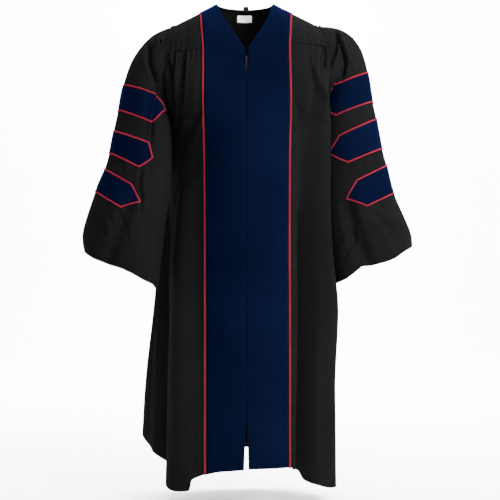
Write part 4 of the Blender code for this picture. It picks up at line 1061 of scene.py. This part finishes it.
def new_material(name, dark, light, patch_scale, roughness, bumps=(), **values):
    """A Principled material: two colours mixed by soft patches, rough and bumpy as the cloth is.

    bumps are rows of kind, scale, strength and distance. Values go on the shader's own sockets.
    """
    material = bpy.data.materials.new(name)
    material.use_nodes = True
    nodes, links = material.node_tree.nodes, material.node_tree.links
    shader = nodes["Principled BSDF"]
    place = nodes.new("ShaderNodeTexCoord")
    mix = nodes.new("ShaderNodeMix")
    mix.data_type = "RGBA"
    mix.inputs["A"].default_value = (*dark, 1.0)
    mix.inputs["B"].default_value = (*light, 1.0)
    patches = nodes.new("ShaderNodeMapRange")
    patches.inputs["From Min"].default_value = 0.32
    patches.inputs["From Max"].default_value = 0.68
    links.new(noise(nodes, links, place.outputs["Object"], patch_scale), patches.inputs["Value"])
    links.new(patches.outputs["Result"], mix.inputs["Factor"])
    links.new(mix.outputs["Result"], shader.inputs["Base Color"])
    worn = nodes.new("ShaderNodeMapRange")
    worn.inputs["To Min"].default_value = roughness[0]
    worn.inputs["To Max"].default_value = roughness[1]
    links.new(noise(nodes, links, place.outputs["Object"], patch_scale * 4), worn.inputs["Value"])
    links.new(worn.outputs["Result"], shader.inputs["Roughness"])
    last = None
    for kind, scale, strength, distance in bumps:
        bumped = nodes.new("ShaderNodeBump")
        bumped.inputs["Strength"].default_value = strength
        bumped.inputs["Distance"].default_value = distance
        if kind == "noise":
            height = noise(nodes, links, place.outputs["Object"], scale, detail=2.0)
        else:
            waves = []
            for direction in ("X", "Y"):
                wave = nodes.new("ShaderNodeTexWave")
                wave.wave_type = "BANDS"
                wave.bands_direction = direction
                wave.inputs["Scale"].default_value = scale
                wave.inputs["Distortion"].default_value = 0.4
                links.new(place.outputs["UV"], wave.inputs["Vector"])
                waves.append(wave.outputs["Fac"])
            height = waves[0]
            if kind == "weave":
                both = nodes.new("ShaderNodeMath")
                both.operation = "MAXIMUM"
                links.new(waves[0], both.inputs[0])
                links.new(waves[1], both.inputs[1])
                height = both.outputs["Value"]
        links.new(height, bumped.inputs["Height"])
        if last is not None:
            links.new(last, bumped.inputs["Normal"])
        last = bumped.outputs["Normal"]
    if last is not None:
        links.new(last, shader.inputs["Normal"])
    for socket, value in values.items():
        shader.inputs[socket.replace("_", " ")].default_value = value
    return material


POPLIN = new_material(
    "gown_black_poplin", (0.0031, 0.0032, 0.0034), (0.0041, 0.0042, 0.0044), 3.0, (0.70, 0.85),
    (("noise", 260.0, 0.12, 0.0006), ("weave", 520.0, 0.10, 0.0003)),
    Sheen_Weight=0.002, Sheen_Roughness=0.50, Specular_IOR_Level=0.0,
)
VELVET_CLOTH = new_material(
    "gown_navy_velvet", (0.0009, 0.0015, 0.0066), (0.0013, 0.0021, 0.0090), 5.0, (0.75, 0.95),
    (("noise", 900.0, 0.35, 0.0005), ("noise", 60.0, 0.15, 0.0008)),
    Sheen_Weight=0.10, Sheen_Roughness=0.24, Sheen_Tint=(0.05, 0.14, 0.75, 1.0), Specular_IOR_Level=0.0,
)
SATIN = new_material(
    "gown_red_satin", (0.080, 0.0058, 0.0118), (0.100, 0.0080, 0.0150), 12.0, (0.50, 0.62),
    (("weave", 420.0, 0.12, 0.0002), ("noise", 90.0, 0.20, 0.0006)),
    Specular_IOR_Level=0.0,
)
LABEL_CLOTH = new_material(
    "gown_white_label", (0.88, 0.88, 0.88), (0.94, 0.94, 0.95), 40.0, (0.50, 0.60),
    (("weave", 900.0, 0.25, 0.0002), ("ribs", 300.0, 0.10, 0.0002)),
)
THREAD = new_material(
    "gown_black_thread", (0.005, 0.005, 0.0055), (0.008, 0.008, 0.0085), 30.0, (0.55, 0.70),
    (("noise", 1500.0, 0.3, 0.0002),),
    Specular_IOR_Level=0.02,
)
RED_THREAD = new_material(
    "gown_red_thread", (0.60, 0.10, 0.03), (0.75, 0.16, 0.05), 30.0, (0.45, 0.60),
    (("noise", 1500.0, 0.3, 0.0002),),
)
TAPE_CLOTH = new_material(
    "gown_black_tape", (0.003, 0.003, 0.0035), (0.005, 0.005, 0.006), 20.0, (0.60, 0.72),
    (("weave", 360.0, 0.3, 0.0003),),
    Specular_IOR_Level=0.02,
)
METAL = new_material(
    "gown_grey_metal", (0.008, 0.008, 0.0085), (0.014, 0.014, 0.015), 60.0, (0.34, 0.50),
    (("noise", 700.0, 0.10, 0.0002),),
    Metallic=1.0,
)

# The body's mesh rows by height, and the steps down a yoke.
LEVELS = np.concatenate((
    np.arange(BODY_TOP, ROWS_CHANGE_Z, -TOP_STEP),
    np.arange(ROWS_CHANGE_Z, HEM_LEVEL + HEM_ROWS[0] + 0.002, -SKIRT_STEP),
    HEM_LEVEL + np.array(HEM_ROWS),
))[:, None]
STEPS = np.linspace(0, 1, YOKE_ROWS)[:, None]

# Where stitches run: each line is a list of points and their normals.
hem_lines, seam_lines = [], []


def stitch_line(grid, inside, row, first=0, lift=0.0, wrap=False):
    """One row of a grid as a line of stitches, lifted off the cloth."""
    normals = grid_normals(grid, inside, wrap)[row, first:]
    path = grid[row, first:] + lift * normals
    if wrap:
        path, normals = np.concatenate((path, path[:1])), np.concatenate((normals, normals[:1]))
    return path, normals


def yoke_with_seam(yoke, inside, first=0):
    """A yoke with its lower edge turned under and raised a little, and stitches along it."""
    seam_lines.append(stitch_line(yoke, inside, YOKE_STITCH_ROW, first, STITCH_LIFT))
    raised = yoke + YOKE_EDGE_LIFT * grid_normals(yoke, inside) * STEPS[..., None] ** 4
    return turned_edge(raised, inside, "bottom", YOKE_RADIUS, YOKE_UNDER)


def front_places():
    """Ring places of a front: some columns under the velvet, then from the piping to the side seam."""
    under = np.linspace(0.05, 0.95, COLUMNS_UNDER_VELVET)
    return np.concatenate((under, np.linspace(1.0, 2.0, FRONT_COLUMNS + 1)))[None, :]


def add_front(side):
    label = SIDE_NAME[side]
    panel = body_surface(side, LEVELS, front_places(), 1)
    hem_lines.append(stitch_line(panel, INSIDE_BODY, HEM_STITCH_ROW))
    panel = turned_edge(panel, INSIDE_BODY, "bottom", HEM_RADIUS, HEM_UNDER)
    panel = tucked_edge(panel, INSIDE_BODY, "top", TUCK_REACH, TUCK)
    panel = tucked_edge(panel, INSIDE_BODY, "last", TUCK_REACH_SHORT, TUCK)
    return add_cloth(f"cloth_front_{label}", panel, INSIDE_BODY, f"front_{label}")


def add_front_yoke(side):
    label = SIDE_NAME[side]
    yoke = front_yoke_surface(side, STEPS, front_places())
    yoke = yoke_with_seam(yoke, INSIDE_BODY, COLUMNS_UNDER_VELVET)
    yoke = tucked_edge(yoke, INSIDE_BODY, "top", TUCK_REACH_SHORT, TUCK)
    return add_cloth(f"cloth_yoke_front_{label}", yoke, INSIDE_BODY, f"yoke_front_{label}")


def yoke_and_front(side, places):
    """Points from the shoulder seam down to the hem, over the yoke and the panel below it."""
    low = body_surface(side, LEVELS, places, 1)
    return np.concatenate((front_yoke_surface(side, STEPS, places), low[1:]))


def add_velvet(side):
    """The velvet panel with both edges rolled, and the piping along its outer edge."""
    label = SIDE_NAME[side]
    whole = yoke_and_front(side, np.linspace(0.0, 1.0, VELVET_COLUMNS + 1)[None, :])
    laid = whole + VELVET_LIFT * grid_normals(whole, INSIDE_BODY)
    laid = turned_edge(laid, INSIDE_BODY, "bottom", HEM_RADIUS, HEM_UNDER)
    laid = turned_edge(laid, INSIDE_BODY, "first", VELVET_RADIUS, VELVET_UNDER)
    velvet = add_grid(f"velvet_panel_{label}", laid, VELVET_CLOTH, INSIDE_BODY, VELVET_WALL)
    placed(velvet, "navy_velvet", f"velvet_{label}")

    band = yoke_and_front(side, np.array((1.0, PIPING_PLACE))[None, :])
    ups = grid_normals(band, INSIDE_BODY)[:, 0]
    path = band.mean(axis=1) + PIPING["lift"] * ups
    strip = rounded_strip(f"piping_edge_{label}", path, ups, PIPING["width"], PIPING["height"], SATIN)
    placed(strip, "red_satin", f"piping_{label}")
    return velvet, strip


def back_grid(surface, rows):
    """Both halves of a back piece as one grid, from the right seam to the left."""
    half = BACK_COLUMNS // 2
    right = surface(RIGHT, rows, np.linspace(JUST_BEHIND_SEAM, 4, half + 1)[None, :])
    left = surface(LEFT, rows, np.linspace(4, JUST_BEHIND_SEAM, half + 1)[None, 1:])
    return np.concatenate((right, left), axis=1)


def add_back():
    panel = back_grid(lambda side, level, place: body_surface(side, level, place, -1), LEVELS)
    hem_lines.append(stitch_line(panel, INSIDE_BODY, HEM_STITCH_ROW))
    panel = turned_edge(panel, INSIDE_BODY, "bottom", HEM_RADIUS, HEM_UNDER)
    panel = tucked_edge(panel, INSIDE_BODY, "top", TUCK_REACH, TUCK)
    return add_cloth("cloth_back", panel, INSIDE_BODY, "back")


def add_back_yoke():
    yoke = yoke_with_seam(back_grid(back_yoke_surface, STEPS), INSIDE_YOKE)
    yoke = turned_edge(yoke, INSIDE_YOKE, "top", YOKE_RADIUS, YOKE_UNDER)
    return add_cloth("cloth_yoke_back", yoke, INSIDE_YOKE, "yoke_back")


def on_sleeve(side, ring, angle):
    """Points on the sleeve and their outward normals."""
    gap = 0.03
    at = sleeve_surface(side, ring, angle)
    down = sleeve_surface(side, ring + gap, angle) - sleeve_surface(side, ring - gap, angle)
    round_it = sleeve_surface(side, ring, angle + 1) - sleeve_surface(side, ring, angle - 1)
    ups = unit(np.cross(round_it, down))
    outward = at - (at + sleeve_plain(side, ring, angle + 180)) / 2
    ups *= np.where((ups * outward).sum(-1, keepdims=True) < 0, -1, 1)
    return at, ups


def bar_outline(first, upper, tip, lower):
    """Angles round the sleeve, and the rings of a bar's upper and lower edge at each of them."""
    turns = np.unique(np.concatenate((
        -np.linspace(BAR_BACK_CORNER, BAR_BACK_POINT, 10), np.linspace(-BAR_BACK_CORNER, lower[1], 120),
        np.linspace(lower[1], upper[-1][1], 26), np.linspace(upper[-1][1], tip[1], 16),
        [turn for _, turn in upper],
    )))
    middle = first + 0.5
    stops = (-BAR_BACK_POINT, -BAR_BACK_CORNER, BAR_STRAIGHT_TO, *(turn for _, turn in upper), tip[1])
    heights = (middle - 0.01, first, first, *(ring for ring, _ in upper), tip[0] - 0.005)
    above = np.interp(turns, stops, heights)
    stops = (-BAR_BACK_POINT, -BAR_BACK_CORNER, BAR_STRAIGHT_TO, lower[1], tip[1])
    below = np.interp(turns, stops, (middle + 0.01, first + 1, first + 1, lower[0], tip[0] + 0.005))
    return turns, above, below


def add_bar(side, number, outline, inside):
    """A velvet bar puffed up a little toward its middle, with piping all round."""
    label = SIDE_NAME[side]
    turns, above, below = outline
    rows = np.linspace(-1, 1, BAR_ROWS)[:, None]
    spread = 0.5 * (above + below) + 0.97 * 0.5 * (below - above) * rows
    at, ups = on_sleeve(side, spread, turns[None, :] * 0.995 + 0 * rows)
    raise_by = BAR_LIFT + BAR_PUFF * np.clip(1 - rows**8, 0, 1)
    puffed = at + raise_by[..., None] * ups
    bar = add_grid(f"velvet_bar_{label}_{number}", puffed, VELVET_CLOTH, inside, BAR_WALL)
    placed(bar, "navy_velvet", f"bar_{label}_{number}")

    ring = np.concatenate((np.stack((above, turns), -1)[1:-1], np.stack((below, turns), -1)[-1:0:-1]))
    at, ups = on_sleeve(side, ring[:, 0], ring[:, 1])
    path = at + BAR_PIPING["lift"] * ups
    width, height = BAR_PIPING["width"], BAR_PIPING["height"]
    edge = rounded_strip(f"piping_bar_{label}_{number}", path, ups, width, height, SATIN, closed=True)
    placed(edge, "red_satin", f"bar_piping_{label}_{number}")
    return [bar, edge]


def add_sleeve(side):
    """A sleeve with its cuff turned under, and its three bars."""
    label = SIDE_NAME[side]
    last = len(SLEEVE_RINGS[side]) - 1
    upper = np.linspace(0, ROWS_CHANGE_RING, SLEEVE_ROWS[0])
    lower = np.linspace(ROWS_CHANGE_RING, last, SLEEVE_ROWS[1])[1:-1]
    rings = np.concatenate((upper, lower, last - np.array((0.10, 0.05, 0.0))))[:, None]
    angles = np.concatenate((
        180 * np.arange(SLEEVE_COLUMNS[0]) / SLEEVE_COLUMNS[0],
        180 + 180 * np.arange(SLEEVE_COLUMNS[1]) / SLEEVE_COLUMNS[1],
    ))[None, :]
    tube = sleeve_surface(side, rings, angles)
    inside = tube.reshape(-1, 3).mean(axis=0)
    hem_lines.append(stitch_line(tube, inside, CUFF_STITCH_ROW, wrap=True))
    tube = turned_edge(tube, inside, "bottom", HEM_RADIUS, HEM_UNDER, wrap=True)
    tube = tucked_edge(tube, inside, "top", TUCK_REACH, TUCK, wrap=True)
    sleeve = add_cloth(f"cloth_sleeve_{label}", tube, inside, f"sleeve_{label}", wrap=True)
    with_sleeve = []
    for number, row in enumerate(BARS[side], 1):
        with_sleeve += add_bar(side, number, bar_outline(*row), inside)
    return sleeve, with_sleeve


def back_neck_y(x, z):
    """y of the back yoke at x and z, found by halving the step down the yoke."""
    half_neck = np.where(x > 0, NECK_HALF[LEFT], NECK_HALF[RIGHT])
    place = 4 - np.degrees(np.arcsin(np.abs(x) / half_neck)) / 90
    on_left = (x > 0)[..., None]

    def point(step):
        return np.where(on_left, back_yoke_surface(LEFT, step, place), back_yoke_surface(RIGHT, step, place))

    low, high = np.zeros_like(x), np.ones_like(x)
    for _ in range(24):
        middle = (low + high) / 2
        above = point(middle)[..., 2] > z
        low, high = np.where(above, middle, low), np.where(above, high, middle)
    return point(low)[..., 1]


def add_label():
    """The label with rounded corners inside the back neck, and the red stitches along its top."""
    heights = np.linspace(LABEL["top_z"], LABEL["end_z"], LABEL["rows"])[:, None]
    widths = np.linspace(-1, 1, LABEL["columns"])[None, :]
    corner = LABEL["corner"]
    from_edge = np.minimum(heights[0] - heights, heights - heights[-1])
    inset = corner - np.sqrt(np.clip(corner**2 - np.clip(corner - from_edge, 0, corner) ** 2, 0, None))
    x = LABEL["centre_x"] + widths * (LABEL["half_width"] - inset)
    z = heights + 0 * x
    grid = np.stack((x, back_neck_y(x, z), z), axis=-1)
    gap = LABEL["gap"] + LABEL["unevenness"] * ripple(x * 40, z * 40, 71)
    grid = grid - gap[..., None] * grid_normals(grid, INSIDE_NECK)
    label_piece = add_grid("label", grid, LABEL_CLOTH, INSIDE_NECK, LABEL["wall"])
    placed(label_piece, "white_label", "neck_label")
    inner = -grid_normals(grid, INSIDE_NECK)[1, 1:-1]
    top_line = (grid[1, 1:-1] + 0.0002 * inner, inner)
    red_line = stitches(
        "label_stitches", [top_line], RED_THREAD, slot="red_satin", pitch=0.0016, length=0.0015, thick=0.00040
    )
    return [label_piece, red_line]


def add_loop():
    """The hanging loop: a tape folded over at its top, with both legs down inside the back neck."""
    y = NECK_BACK_Y - CLOTH - LOOP["radius"] - LOOP["clearance"]
    fold, count = LOOP["fold"], LOOP["leg_rows"]
    turns = np.linspace(math.pi, 0, 9)
    top = LOOP["height"] - fold
    legs_z = np.linspace(LOOP["foot_z"], top, count)
    path_y = np.concatenate((np.full(count, y - fold), y + fold * np.cos(turns), np.full(count, y + fold)))
    path_z = np.concatenate((legs_z, top + fold * np.sin(turns), legs_z[::-1]))
    rounding = np.sqrt(1 - np.clip((path_z - 0.0005) / LOOP["height"], 0, 1) ** 2)
    half_width = LOOP["half_width_at_top"] + LOOP["wider_at_foot"] * rounding
    x = half_width[:, None] * np.linspace(-1, 1, 9)[None, :]
    tape = np.stack((x, path_y[:, None] + 0 * x, path_z[:, None] + 0 * x), -1)
    loop = add_grid("loop", tape, TAPE_CLOTH, np.array((0.0, y, -0.02)), LOOP["wall"])
    placed(loop, "black_tape", "hang_loop")


def add_zip_teeth():
    """The closed zip's teeth: small blocks that step a little to the left and right by turns."""
    points, faces = [], []
    for count, tooth_z in enumerate(np.arange(TOOTH["first_z"], ZIP_END_Z, -TOOTH["pitch"])):
        y = column(SECTIONS, 1, tooth_z) + CLOTH + LAID_GAP + TAPE
        shift = TOOTH["shift"] * (1 if count % 2 else -1)
        start = len(points)
        for dx in TOOTH["x"]:
            for dy in TOOTH["y"]:
                for dz in TOOTH["z"]:
                    points.append((CENTRE_X + dx + shift, y + dy, tooth_z + dz))
        quads = ((0, 1, 3, 2), (4, 6, 7, 5), (0, 4, 5, 1), (2, 3, 7, 6), (0, 2, 6, 4), (1, 5, 7, 3))
        faces += [tuple(start + k for k in quad) for quad in quads]
    teeth = add_mesh("zip_teeth", points, faces, TAPE_CLOTH)
    recalculated(teeth)
    placed(teeth, "black_tape")


for side in (RIGHT, LEFT):
    front = add_front(side)
    yoke_piece = add_front_yoke(side)
    velvet, strip = add_velvet(side)
back = add_back()
back_yoke = add_back_yoke()
for side in (RIGHT, LEFT):
    sleeve, with_sleeve = add_sleeve(side)
label_piece, red_line = add_label()
add_loop()

# The solids that show as they are get the scene's materials.
for node, material in (("zip_tape", TAPE_CLOTH), ("zip_slider", METAL), ("zip_pull", METAL)):
    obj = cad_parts[node]
    obj.data.materials.clear()
    obj.data.materials.append(material)

add_zip_teeth()
stitches("hem_stitches", hem_lines, THREAD)
stitches("yoke_stitches", seam_lines, THREAD)


# The studio.


def add_stage():
    """A pale floor that curves up into a wall behind, so that no edge shows."""
    curve_y, radius, floor_z = STAGE["curve_y"], STAGE["radius"], STAGE["floor_z"]
    profile = [(STAGE["front_y"], 0.0), (curve_y, 0.0)]
    for k in range(1, 13):
        turn = math.radians(90 * k / 12)
        profile.append((curve_y + radius * math.sin(turn), radius * (1 - math.cos(turn))))
    profile.append((curve_y + radius, STAGE["height"]))
    points, faces = [], []
    for y, z in profile:
        points += [(-STAGE["half_width"], y, floor_z + z), (STAGE["half_width"], y, floor_z + z)]
    for k in range(len(profile) - 1):
        faces.append((2 * k, 2 * k + 1, 2 * k + 3, 2 * k + 2))
    material = new_material("stage_paper", (0.91, 0.91, 0.91), (0.94, 0.94, 0.94), 0.8, (0.85, 0.95))
    floor = add_mesh("studio_floor", points, faces, material)


def add_light(name, location, target, size, energy):
    data = bpy.data.lights.new(name, "AREA")
    data.shape = "RECTANGLE"
    data.size, data.size_y = size
    data.energy = energy
    light = bpy.data.objects.new(name, data)
    light.location = location
    way = np.array(target) - np.array(location)
    light.rotation_euler = Vector(way).to_track_quat("-Z", "Y").to_euler()
    bpy.context.scene.collection.objects.link(light)


add_stage()
add_light("key", (2.0, -1.8, 1.1), (0.0, 0.0, -0.5), (1.2, 1.8), 345.0)
add_light("fill", (-0.2, -3.3, 0.5), (0.0, 0.0, -0.6), (1.6, 2.0), 40.0)
add_light("top", (0.2, -1.6, 2.1), (0.0, 0.0, -0.2), (1.6, 1.2), 110.0)
add_light("side_left", (2.5, 0.5, -0.1), (0.0, 0.0, -0.5), (0.8, 2.2), 80.0)
add_light("side_right", (-2.5, 0.6, -0.1), (0.0, 0.0, -0.5), (0.8, 2.2), 2.0)
add_light("backdrop", (0.0, 1.5, 2.8), (0.0, 5.2, -0.4), (6.0, 1.2), 3600.0)

world = bpy.context.scene.world or bpy.data.worlds.new("studio")
bpy.context.scene.world = world
world.use_nodes = True
world.node_tree.nodes["Background"].inputs["Color"].default_value = (1.0, 1.0, 1.0, 1.0)
world.node_tree.nodes["Background"].inputs["Strength"].default_value = 0.52

camera_data = bpy.data.cameras.new("camera")
camera_data.lens = 80.0
camera_data.sensor_width = 36.0
camera = bpy.data.objects.new("camera", camera_data)
camera.location = (0.012, -3.15, -0.697)
camera.rotation_euler = (math.pi / 2, 0.0, 0.0)
bpy.context.scene.collection.objects.link(camera)
bpy.context.scene.camera = camera
